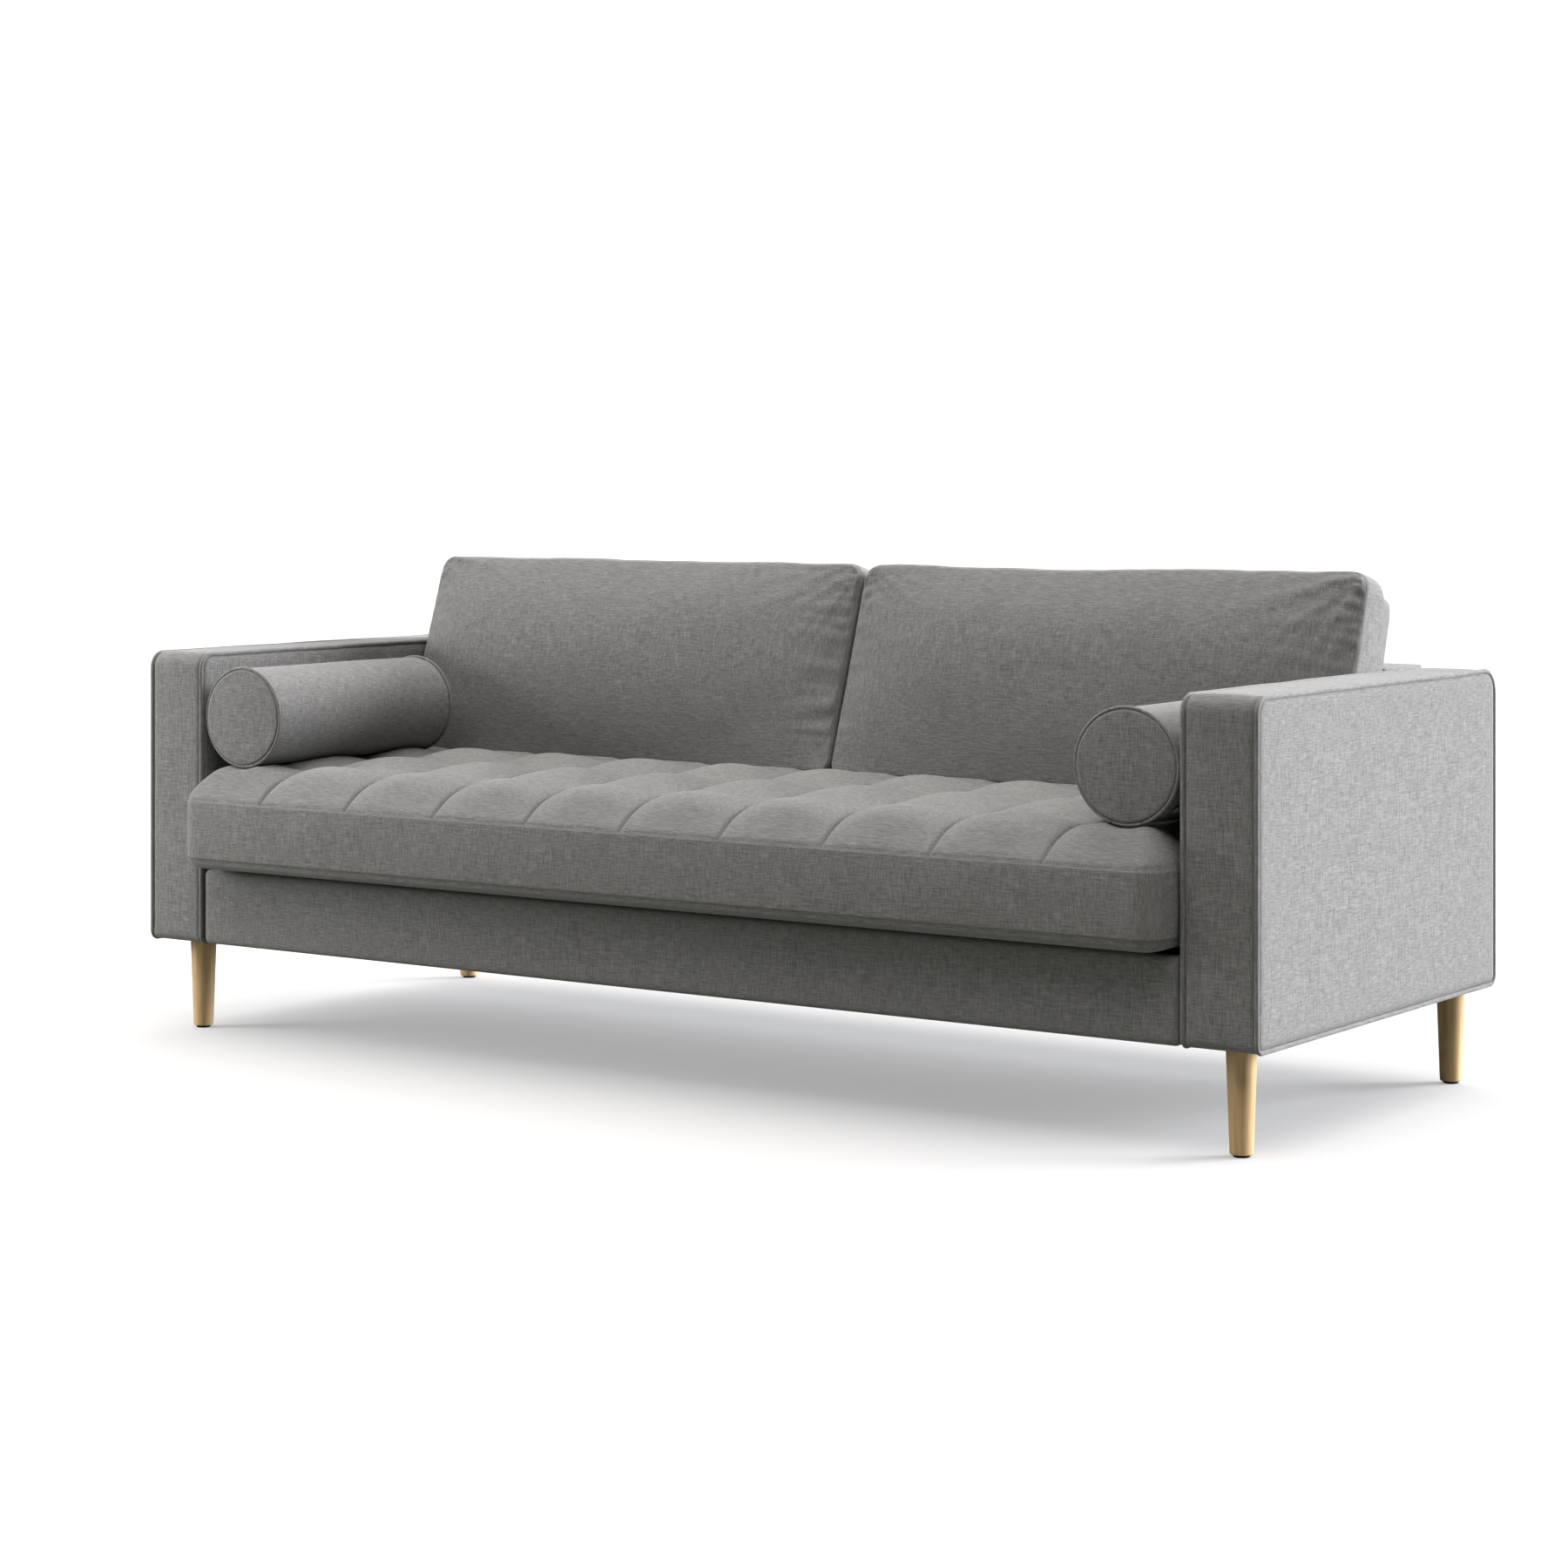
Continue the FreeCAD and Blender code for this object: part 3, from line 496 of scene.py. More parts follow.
def arm_panel(name, side, outer):
    """One flat side of an arm: a padded panel whose edge dives behind the piping."""
    places, faces = box_grid(PANEL_QUADS)
    low_y = ARM_LOW.y + WELT_BED
    high_y = ARM_HIGH.y - WELT_BED
    low_z = ARM_LOW.z + WELT_BED
    high_z = ARM_HIGH.z - WELT_BED
    half_y = (high_y - low_y) / 2
    half_z = (high_z - low_z) / 2
    u = (places[:, 0] * 2 - 1) * half_y
    w = (places[:, 2] * 2 - 1) * half_z
    edge = np.minimum(half_y - np.abs(u), half_z - np.abs(w))
    upper_u, upper_w = round_plan(u, w, half_y, half_z, PANEL_UPPER_CORNER)
    lower_u, lower_w = round_plan(u, w, half_y, half_z, PANEL_LOWER_CORNER)
    u = np.where(w > 0, upper_u, lower_u)
    w = np.where(w > 0, upper_w, lower_w)
    tuck = 2.0 * MM * np.exp(-edge / (2.2 * MM))
    crown = 1.2 * MM * np.clip(edge / 0.15, 0, 1) ** 0.5
    y = u + mid(low_y, high_y)
    z = w + mid(low_z, high_z)
    ripple = fbm(np.stack([y, z, z * 0], 1), 7.0, 3.0 + outer + side)
    ripple *= 0.8 * MM * np.clip(edge / 0.05, 0, 1)
    face_x = ARM_HIGH.x if outer else ARM_LOW.x
    direction = 1 if outer else -1
    out = -1.1 * MM + crown + ripple - tuck
    x = face_x + direction * (out - places[:, 1] * PANEL_DEPTH)
    return make_piece(name, np.stack([x * side, y, z], 1), faces)


def arm_strip(name, side):
    """The boxing up the front, over the top and down the rear of an arm, turned under below.

    It lies across the arm between the welts, bulges between them and dips in beside them.
    """
    x0 = ARM_LOW.x + WELT_BED
    x1 = ARM_HIGH.x - WELT_BED
    low_y = ARM_LOW.y + STRIP_INSET
    high_y = ARM_HIGH.y - STRIP_INSET
    loop = rounded_loop(low_y, high_y, ARM_LOW.z + 0.8 * MM, ARM_HIGH.z - STRIP_INSET,
                        ARM_CORNERS, 8 * MM)
    under = [n for n, (y, z) in enumerate(loop) if z < ARM_LOW.z + 1.0 * MM
             and low_y + STRIP_TURN_UNDER < y < high_y - STRIP_TURN_UNDER]
    loop = loop[under[-1] + 1:] + loop[:under[0]]
    count = len(loop)
    outer = []
    inner = []
    for n, (y, z) in enumerate(loop):
        y0, z0 = loop[max(0, n - 1)]
        y2, z2 = loop[min(count - 1, n + 1)]
        normal = Vector((0, z2 - z0, -(y2 - y0))).normalized()
        below = min(1.0, max(0.0, (z - ARM_LOW.z - 4 * MM) / (20 * MM)))
        for k in range(STRIP_QUADS + 1):
            t = k / STRIP_QUADS
            edge = min(t, 1 - t) * (x1 - x0)
            dip = DIP_FRONT if y < ARM_LOW.y + 20 * MM else DIP_ELSEWHERE
            crown = 2.4 * MM * math.sin(math.pi * t) ** 0.6 - dip * math.exp(-edge / (2.4 * MM))
            soft = noise.fractal(Vector((t * 0.9 + side * 3, y * 7, z * 7)), 0.8, 2.0, 2) * 0.9 * MM
            out = (crown + soft * min(1.0, edge / (20 * MM))) * below
            place = Vector(((x0 + (x1 - x0) * t) * side, y, z))
            outer.append(place + normal * out)
            inner.append(place - normal * (5 * below + 0.9) * MM)
    shift = len(outer)
    width = STRIP_QUADS + 1
    faces = []
    for n in range(count - 1):
        for k in range(STRIP_QUADS):
            a = n * width + k
            d = a + width
            faces.append((a, a + 1, d + 1, d))
            faces.append((a + shift, d + shift, d + 1 + shift, a + 1 + shift))
        first, second = n * width, (n + 1) * width
        faces.append((first, second, second + shift, first + shift))
        first, second = first + STRIP_QUADS, second + STRIP_QUADS
        faces.append((first, first + shift, second + shift, second))
    last = (count - 1) * width
    for k in range(STRIP_QUADS):
        faces.append((k, k + shift, k + 1 + shift, k + 1))
        faces.append((last + k, last + k + 1, last + k + 1 + shift, last + k + shift))
    return make_piece(name, outer + inner, faces)


def arm_piping(name, side):
    """Both welts of an arm, each one closed loop of covered cord."""
    vertices = []
    faces = []
    for x in (ARM_LOW.x + WELT_R, ARM_HIGH.x - WELT_R):
        loop = rounded_loop(ARM_LOW.y + WELT_R, ARM_HIGH.y - WELT_R, ARM_LOW.z + WELT_R - 2 * MM,
                            ARM_HIGH.z - WELT_R, ARM_CORNERS, 7 * MM)
        path = [Vector((x * side, y, z + arm_wave(y, z))) for y, z in loop]
        ring, quads = tube_rings(path, WELT_R, WELT_SIDES)
        faces += [tuple(v + len(vertices) for v in quad) for quad in quads]
        vertices += ring
    return make_piece(name, vertices, faces)


def build_arms():
    for label, side in SIDES:
        inside = arm_panel("arm_inside_panel_" + label, side, 0)
        finish_cover(inside, "frame", ["arm_inside_cover_" + label])
        outside = arm_panel("arm_outside_panel_" + label, side, 1)
        finish_cover(outside, "frame", ["arm_outside_cover_" + label])
        strip = arm_strip("arm_boxing_strip_" + label, side)
        finish_cover(strip, "frame", ["arm_boxing_" + label])
        piping = arm_piping("arm_piping_" + label, side)
        finish_cover(piping, "frame", ["arm_welts_" + label])


# ---- padded panels of the body -----------------------------------------------------------
def graded(stops, fine, coarse, growth=1.45):
    """Positions from the first stop to the last, close together at each stop and wider between."""
    places = [stops[0]]
    for low, high in zip(stops, stops[1:]):
        half = (high - low) / 2
        sizes = []
        while sum(sizes) < half - 1e-9:
            sizes.append(min(fine * growth ** len(sizes), coarse))
        fit = half / sum(sizes)
        for size in sizes + sizes[::-1]:
            places.append(places[-1] + size * fit)
        places[-1] = high
    return np.array(places)


def graded_box(xs, ys, zs):
    """A box's surface with points at these positions. Returns points, grid indexes and faces."""
    counts = (len(xs) - 1, len(ys) - 1, len(zs) - 1)
    places, faces = box_grid(counts)
    grid = np.rint(places * np.array(counts)).astype(int)
    points = np.stack([xs[grid[:, 0]], ys[grid[:, 1]], zs[grid[:, 2]]], 1)
    return points, grid, faces


def edge_distance(a, b, half_a, half_b, radius):
    """How far a point in a rounded rectangle is from its outline."""
    qa = np.abs(a) - (half_a - radius)
    qb = np.abs(b) - (half_b - radius)
    outside = np.hypot(np.maximum(qa, 0), np.maximum(qb, 0))
    return radius - outside - np.minimum(np.maximum(qa, qb), 0)


# ---- the bench cushion -------------------------------------------------------------------
TUFT_PITCH = 198 * MM
TUFT_ROWS = (-323 * MM, -110 * MM, 79 * MM)
SEAT_LOWER_SEAM = 326 * MM
SEAT_UPPER_SEAM = 428 * MM
SEAT_CORNER = 37 * MM
SEAT_DOME = 49 * MM
CROWN_RUNS = (150 * MM, 115 * MM, 90 * MM, 115 * MM)   # in from the front, ends, rear and any edge
CROWN_POWER = 3.0             # how closely the crown follows its nearest edge
SEAT_SAG = 20 * MM
SEAT_REAR_FLAT = 60 * MM      # the last part of each side, which stays clear of the back
PUFF = 23 * MM
BOLSTER_X = mid(*[corner.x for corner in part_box("bolster_welts_right")])
BOLSTER_Z = mid(*[corner.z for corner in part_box("bolster_welts_right")])
BOLSTER_BED_R = 92.5 * MM     # the hollow that a bolster presses into the seat
PILLOW_FOOT_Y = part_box("back_cushion_cover_right")[0].y
PILLOW_FOOT_Z = 484 * MM


def dome(share):
    """Height of the seat's crown, 0 to 1, at this share of the way in from its edges."""
    return (1 - (1 - np.clip(share, 0, 1)) ** 2) ** 0.72


def build_seat_cushion():
    columns = [n * TUFT_PITCH for n in range(-4, 5)]
    xs = graded([SEAT_LOW.x] + columns + [SEAT_HIGH.x], 2.2 * MM, 9.5 * MM)
    ys = graded([SEAT_LOW.y] + list(TUFT_ROWS) + [SEAT_HIGH.y], 2.2 * MM, 9.5 * MM)
    zs = graded([SEAT_LOWER_SEAM, SEAT_UPPER_SEAM], 1.2 * MM, 11 * MM)
    points, grid, faces = graded_box(xs, ys, zs)
    middle_y = mid(SEAT_LOW.y, SEAT_HIGH.y)
    half_x = SEAT_HIGH.x
    half_y = (SEAT_HIGH.y - SEAT_LOW.y) / 2
    u, w = round_plan(points[:, 0], points[:, 1] - middle_y, half_x, half_y, SEAT_CORNER)
    edge = np.maximum(edge_distance(u, w, half_x, half_y, SEAT_CORNER), 0)
    y = w + middle_y
    front = y - SEAT_LOW.y
    ends = half_x - np.abs(u)
    rear = SEAT_HIGH.y - y
    near = sum((distance / run + 1e-4) ** -CROWN_POWER
               for distance, run in zip((front, ends, rear, edge), CROWN_RUNS))
    rise = SEAT_DOME * dome((near / 2) ** (-1 / CROWN_POWER))

    # puffed squares between the sewn creases
    column = np.abs(u) / TUFT_PITCH
    across = np.where(column > 4, np.sin(math.pi * np.minimum((column - 4) * 0.9, 0.5)),
                      np.abs(np.sin(math.pi * column)))
    row_stops = [SEAT_LOW.y] + list(TUFT_ROWS) + [SEAT_HIGH.y + 80 * MM]
    along = np.abs(np.sin(math.pi * np.interp(y, row_stops, range(len(row_stops)))))
    fade = np.clip(edge / (42 * MM), 0, 1) ** 0.8
    side_seam = 0.12 + 0.88 * along ** 0.85
    rearward = np.clip((y - TUFT_ROWS[0]) / (TUFT_ROWS[2] - TUFT_ROWS[0]), 0, 1)
    puff = PUFF * (1 + 0.25 * rearward) * across ** 0.7 * side_seam * fade
    creases = np.exp(-(across / 0.035) ** 2) * np.clip(edge / (4 * MM), 0, 1)
    rows_in = np.exp(-(along / 0.03) ** 2) * np.clip(edge / (6 * MM), 0, 1)
    lively = fbm(np.stack([u, y, u * 0], 1), 9.0, 4.0) * 1.2 * MM * fade * across ** 0.5
    crease_depth = (4.5 + 4.0 * np.clip(1 - front / 0.16, 0, 1)) * MM
    top = SEAT_UPPER_SEAM + rise + puff + lively - creases * crease_depth - 1.6 * MM * rows_in

    # flat or hollow where the bolsters and back cushions rest
    roll = np.abs(np.abs(u) - BOLSTER_X)
    room = BOLSTER_Z - np.sqrt(np.maximum(BOLSTER_BED_R ** 2 - roll ** 2, 0))
    under_roll = (roll < 92 * MM) & (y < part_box("bolster_welts_right")[1].y + 14 * MM)
    top = np.where(under_roll, np.minimum(top, room - 0.5 * MM), top)
    past = y - (PILLOW_FOOT_Y - 6 * MM)
    under_pillow = PILLOW_FOOT_Z - 5 * MM - np.maximum(past, 0) * math.tan(LEAN)
    settle = np.clip(past / (30 * MM) + 1, 0, 1)
    top = np.where(past > -30 * MM, np.minimum(top, under_pillow + (1 - settle) * 15 * MM), top)

    bottom = SEAT_LOWER_SEAM - SEAT_SAG * (1 - (1 - np.clip(edge / (30 * MM), 0, 1)) ** 2) ** 0.5
    is_top = grid[:, 2] == len(zs) - 1
    is_bottom = grid[:, 2] == 0
    z = np.where(is_top, top, np.where(is_bottom, bottom, points[:, 2]))

    # sides that swell between the two seams, and seams that draw in
    height = (points[:, 2] - SEAT_LOWER_SEAM) / (SEAT_UPPER_SEAM - SEAT_LOWER_SEAM)
    on_side = ~(is_top | is_bottom)
    swell = 3.0 * MM * np.sin(math.pi * height) ** 0.7
    ripple = fbm(np.stack([u, y, z * 0.25], 1), 8.0, 6.0, 3) * 2.0 * MM * np.sin(math.pi * height)
    out = np.where(on_side, swell + ripple, 0)
    seam_row = (is_top | is_bottom) & (edge < 0.2 * MM)
    out = np.where(seam_row, -2.2 * MM, out)
    past_u = np.maximum(np.abs(u) - half_x + SEAT_CORNER, 0) * np.sign(u)
    past_w = np.maximum(np.abs(w) - half_y + SEAT_CORNER, 0) * np.sign(w)
    length = np.maximum(np.hypot(past_u, past_w), 1e-9)
    out = np.where((out > 0) & (rear < SEAT_REAR_FLAT), 0, out)
    out = np.where((out > 0) & (np.abs(u) > half_x - SEAT_CORNER), out * 0.6, out)
    x = u + past_u / length * out
    y = y + past_w / length * out
    piece = make_piece("seat_cushion_bench", np.stack([x, y, z], 1), faces)
    finish_cover(piece, "seat_cushion", ["seat_cushion_cover"])


# ---- back cushions -----------------------------------------------------------------------
PILLOW_LOW_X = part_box("back_cushion_cover_right")[0].x
PILLOW_HIGH_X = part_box("back_cushion_cover_right")[1].x
PILLOW_REACH = 988.5 * MM     # from the middle of the sofa to the outer side
PILLOW_SLIT = 1.5 * MM        # from the middle of the sofa to the inner side
PILLOW_HEIGHT = 384 * MM
PILLOW_DEPTH = 100 * MM
PILLOW_SWELL = 42 * MM
PILLOW_APEX = 0.64            # share of the height at which the front swells most
PILLOW_UPPER_CORNER = 28 * MM
PILLOW_LOWER_CORNER = 16 * MM
PILLOW_REAR_CORNER = 55 * MM


def build_back_cushion(label, side):
    """Made upright and then leant back: a runs across its front, b up it, both from its middle."""
    width = PILLOW_HIGH_X - PILLOW_LOW_X
    xs = graded([0, width], 3 * MM, 9 * MM)
    ys = graded([0, PILLOW_DEPTH], 3 * MM, 10 * MM)
    zs = graded([0, PILLOW_HEIGHT], 3 * MM, 6 * MM)
    points, grid, faces = graded_box(xs, ys, zs)
    half_x = width / 2
    half_z = PILLOW_HEIGHT / 2
    a = points[:, 0] - half_x
    b = points[:, 2] - half_z
    upper = b > 0
    top_a, top_b = round_plan(a, b, half_x, half_z, PILLOW_UPPER_CORNER)
    low_a, low_b = round_plan(a, b, half_x, half_z, PILLOW_LOWER_CORNER)
    a = np.where(upper, top_a, low_a)
    b = np.where(upper, top_b, low_b)
    edge = np.where(upper, edge_distance(a, b, half_x, half_z, PILLOW_UPPER_CORNER),
                    edge_distance(a, b, half_x, half_z, PILLOW_LOWER_CORNER))
    edge = np.maximum(edge, 0)
    is_front = grid[:, 1] == 0
    is_rear = grid[:, 1] == len(ys) - 1
    is_side = ~(is_front | is_rear)
    y, z_local = round_corner(points[:, 1], b + half_z, PILLOW_DEPTH, PILLOW_HEIGHT,
                              PILLOW_REAR_CORNER)
    share = np.clip((b / half_z + 1) / 2, 0, 1)
    upright = (share / PILLOW_APEX) ** 1.25 * ((1 - share) / (1 - PILLOW_APEX)) ** 0.70
    swell = PILLOW_SWELL * upright * np.maximum(1 - np.abs(a / half_x) ** 3, 0) ** 0.75
    y = np.where(is_front, y - swell, y)
    b = z_local - half_z

    # seams that draw in and wander, with boxing that swells between them
    seam = (is_front | is_rear) & (edge < 0.3 * MM)
    wander = fbm(np.stack([a * side, b, a * 0], 1), 13.0, 8.0 + side, 3) * 1.8 * MM
    out_a = np.where(np.abs(a) > half_x - PILLOW_LOWER_CORNER, np.sign(a), 0)
    out_b = np.where(np.abs(b) > half_z - PILLOW_LOWER_CORNER, np.sign(b), 0)
    drift = fbm(np.stack([a * side, a * 0, a * 0], 1), 5.0, 15.0 + side) * 4.0 * MM
    b = b + drift * np.clip(b / half_z, 0, 1) ** 2
    boxing = 3.5 * MM * np.sin(math.pi * np.clip(points[:, 1] / PILLOW_DEPTH, 0, 1)) ** 0.7
    shift = np.where(seam, wander - 2.4 * MM, np.where(is_side, boxing + wander * 0.5, 0))
    a = a + out_a * shift
    b = b + np.where(b > 0, out_b * shift, 0)
    piece = make_piece("back_cushion_" + label, np.stack([a, y, b + half_z], 1), faces)
    inflate(piece, ~is_front | seam, pressure=4.0, spare_cloth=0.006, cap=20 * MM)
    local = get_points(piece)

    # gathers run in from the seam where the spare cloth is taken up, and fan out at the top corners
    run_a = points[:, 0] - half_x
    right_end = 1.0 if side < 0 else 0.75
    left_end = 0.45 if side < 0 else 0.5
    gather = np.zeros(len(local))
    for reach, run, strength, length in (
            (half_x - run_a, points[:, 2], right_end, 55 * MM),
            (half_x + run_a, points[:, 2], left_end, 45 * MM),
            (PILLOW_HEIGHT - points[:, 2], points[:, 0], 0.30, 30 * MM)):
        lines = np.stack([run * 40.0, reach * 6.0 + run * 4.0, run * 0 + side * 4.7], 1)
        folds = np.array([2.4 * abs(noise.noise(Vector(p))) - 0.45 for p in lines])
        patch = np.stack([run * 6.0, run * 0 + 2.0, run * 0 + side * 2.1], 1)
        where = np.clip(np.array([noise.noise(Vector(p)) for p in patch]) * 1.2 + 0.6, 0, 1)
        pulled = 0.3 + 0.7 * np.clip(points[:, 2] / PILLOW_HEIGHT * 1.4 - 0.1, 0, 1)
        gather += strength * pulled * where * folds * np.exp(-(reach / (length * (0.6 + where))) ** 1.5)
    for corner in (-half_x, half_x):
        away_a = run_a - corner
        away_b = points[:, 2] - PILLOW_HEIGHT
        away = np.hypot(away_a, away_b)
        fan = np.arctan2(away_b, np.abs(away_a) + 1e-6)
        folds = np.array([2.2 * abs(noise.noise(Vector((t * 6.0, r * 4.0, side * 3.0 + corner)))) - 0.4
                          for t, r in zip(fan, away)])
        gather += folds * np.exp(-(away / 0.11) ** 1.5)
    rise = np.clip(edge / (6 * MM), 0, 1)
    local[:, 1] -= np.where(is_front, gather * 9.0 * MM * rise, 0)
    broad = fbm(np.stack([run_a, points[:, 2], run_a * 0], 1), 4.5, 12.0 + side, 2)
    local[:, 1] -= np.where(is_front, broad * 4.0 * MM * np.clip(edge / (80 * MM), 0, 1), 0)

    # into its place beside the other cushion, leaning on the back
    local[:, 0] += half_x + PILLOW_LOW_X
    if side < 0:
        local[:, 0] -= width + 2 * PILLOW_LOW_X
    local[:, 0] = side * np.clip(local[:, 0] * side, PILLOW_SLIT, PILLOW_REACH)
    local[:, 1] = np.minimum(local[:, 1], PILLOW_DEPTH + 1.5 * MM)
    turned = local.copy()
    turned[:, 1] = PILLOW_FOOT_Y + local[:, 1] * math.cos(LEAN) + local[:, 2] * math.sin(LEAN)
    turned[:, 2] = PILLOW_FOOT_Z - local[:, 1] * math.sin(LEAN) + local[:, 2] * math.cos(LEAN)
    set_points(piece, turned)
    subdivide(piece)
    finish_cover(piece, "back_cushion_" + label, ["back_cushion_cover_" + label], fabric_leaning)


# ---- bolsters ----------------------------------------------------------------------------
BOLSTER_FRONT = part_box("bolster_cover_right")[0].y
BOLSTER_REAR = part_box("bolster_cover_right")[1].y
BOLSTER_R = 87.5 * MM
BOLSTER_WELT_R = 2.8 * MM
BOLSTER_WELT_LINE = 87.7 * MM
BOLSTER_SIDES = 132
CAP_R = 86 * MM
CAP_RINGS = (0.0, 0.12, 0.25, 0.38, 0.5, 0.62, 0.74, 0.85, 0.93, 0.98)


def build_bolster(label, side):
    x0 = side * BOLSTER_X
    welt_front = BOLSTER_FRONT + 7 * MM
    welt_rear = BOLSTER_REAR - 7 * MM
    rings = []
    for share in CAP_RINGS:
        bulge = 3.0 * MM + 5.0 * MM * (1 - share ** 2)
        rings.append((welt_front - bulge, CAP_R * share, False))
    for y in graded([welt_front, welt_rear], 2.5 * MM, 8 * MM):
        near = min(y - welt_front, welt_rear - y)
        rings.append((y, BOLSTER_R - 2.4 * MM * math.exp(-near / (5 * MM)), True))
    for share in CAP_RINGS[::-1]:
        bulge = 3.0 * MM + 5.0 * MM * (1 - share ** 2)
        rings.append((welt_rear + bulge, CAP_R * share, False))
    vertices = []
    for y, r, on_roll in rings:
        near = min(y - welt_front, welt_rear - y)
        for k in range(BOLSTER_SIDES):
            turn = 2 * math.pi * k / BOLSTER_SIDES
            direction = Vector((math.cos(turn), 0, math.sin(turn)))
            radius = r
            shift = 0.0
            if on_roll:
                folds = noise.noise(Vector((direction.x * 7, direction.z * 7, near * 6 + side * 5)))
                broad = noise.noise(Vector((direction.x * 1.4, direction.z * 1.4, y * 6 + side * 9)))
                radius += (folds * 1.5 * math.exp(-near / 0.045)
                           + broad * 1.3 * min(1, near / 0.05)) * MM
            else:
                uneven = noise.noise(Vector((direction.x * r * 14, direction.z * r * 14, side * 3)))
                shift = uneven * 0.8 * MM * (1 - (r / BOLSTER_R) ** 4)
            vertices.append(Vector((x0, y + shift, BOLSTER_Z)) + direction * radius)
    faces = []
    for n in range(len(rings) - 1):
        for k in range(BOLSTER_SIDES):
            j = (k + 1) % BOLSTER_SIDES
            faces.append((n * BOLSTER_SIDES + k, n * BOLSTER_SIDES + j,
                          (n + 1) * BOLSTER_SIDES + j, (n + 1) * BOLSTER_SIDES + k))
    piece = make_piece("bolster_" + label + "_roll", vertices, faces)
    bm = bmesh.new()
    bm.from_mesh(piece.data)
    bmesh.ops.remove_doubles(bm, verts=bm.verts, dist=1e-6)
    bmesh.ops.recalc_face_normals(bm, faces=bm.faces)
    bm.to_mesh(piece.data)
    bm.free()
    finish_cover(piece, "bolster_" + label, ["bolster_cover_" + label])
    wrap_roll(piece, label, side)

    vertices = []
    faces = []
    for y in (welt_front, welt_rear):
        path = []
        for k in range(96):
            turn = 2 * math.pi * k / 96
            path.append(Vector((x0 + BOLSTER_WELT_LINE * math.cos(turn), y,
                                BOLSTER_Z + BOLSTER_WELT_LINE * math.sin(turn))))
        ring, quads = tube_rings(path, BOLSTER_WELT_R, 10)
        faces += [tuple(v + len(vertices) for v in quad) for quad in quads]
        vertices += ring
    piping = make_piece("bolster_" + label + "_piping", vertices, faces)
    finish_cover(piping, "bolster_" + label, ["bolster_welts_" + label])


def wrap_roll(piece, label, side):
    """The roll's fabric wraps round it, and the flat end discs are cut straight from the cloth."""
    roll = woven_fabric("bolster_fabric_" + label, roll=(side * BOLSTER_X, BOLSTER_Z, BOLSTER_R))
    piece.data.materials.clear()
    piece.data.materials.append(roll)
    piece.data.materials.append(fabric)
    for polygon in piece.data.polygons:
        if abs(polygon.normal.y) > 0.7:
            polygon.material_index = 1


# ---- the body: front rail, back panels ---------------------------------------------------
def soft_block(low, high, corner, crown, seed, face_axis=1, coarse=14 * MM):
    """A padded block with soft edges, its two broad faces swollen a little along face_axis.

    Returns its points, where they were before softening, grid indexes and faces.
    """
    low = np.array(low)
    high = np.array(high)
    axes = [graded([low[a], high[a]], 3 * MM, coarse) for a in range(3)]
    points, grid, faces = graded_box(*axes)
    centre = (low + high) / 2
    half = (high - low) / 2
    p = points - centre
    reach = half - np.abs(p)
    others = [a for a in range(3) if a != face_axis]
    edge = np.minimum(reach[:, others[0]], reach[:, others[1]])
    for a, b in ((0, 1), (1, 2), (0, 2)):
        p[:, a], p[:, b] = round_plan(p[:, a], p[:, b], half[a], half[b], corner)
    on_face = (grid[:, face_axis] == 0) | (grid[:, face_axis] == len(axes[face_axis]) - 1)
    sign = np.sign(p[:, face_axis])
    swell = crown * np.clip(edge / 0.10, 0, 1) ** 0.5
    soft = fbm(points, 6.0, seed) * crown * 0.6 * np.clip(edge / 0.05, 0, 1)
    p[:, face_axis] += np.where(on_face, sign * (swell + soft), 0)
    return p + centre, points, grid, faces


def build_front_rail():
    low = (RAIL_LOW.x, RAIL_LOW.y + 1.5 * MM, RAIL_LOW.z)
    high = (RAIL_HIGH.x, RAIL_HIGH.y, RAIL_HIGH.z)
    points, start, _, faces = soft_block(low, high, 8.5 * MM, 1.5 * MM, 2.0, coarse=11 * MM)
    # hollow behind, where the timber rail is
    pocket = ((start[:, 1] > RAIL_HIGH.y - 1 * MM) & (start[:, 2] > RAIL_LOW.z + 5 * MM)
              & (start[:, 2] < RAIL_HIGH.z - 10 * MM))
    points[:, 1] = np.where(pocket, RAIL_LOW.y + 10 * MM, points[:, 1])
    piece = make_piece("front_rail_panel", points, faces)
    finish_cover(piece, "frame", ["front_rail_cover"])


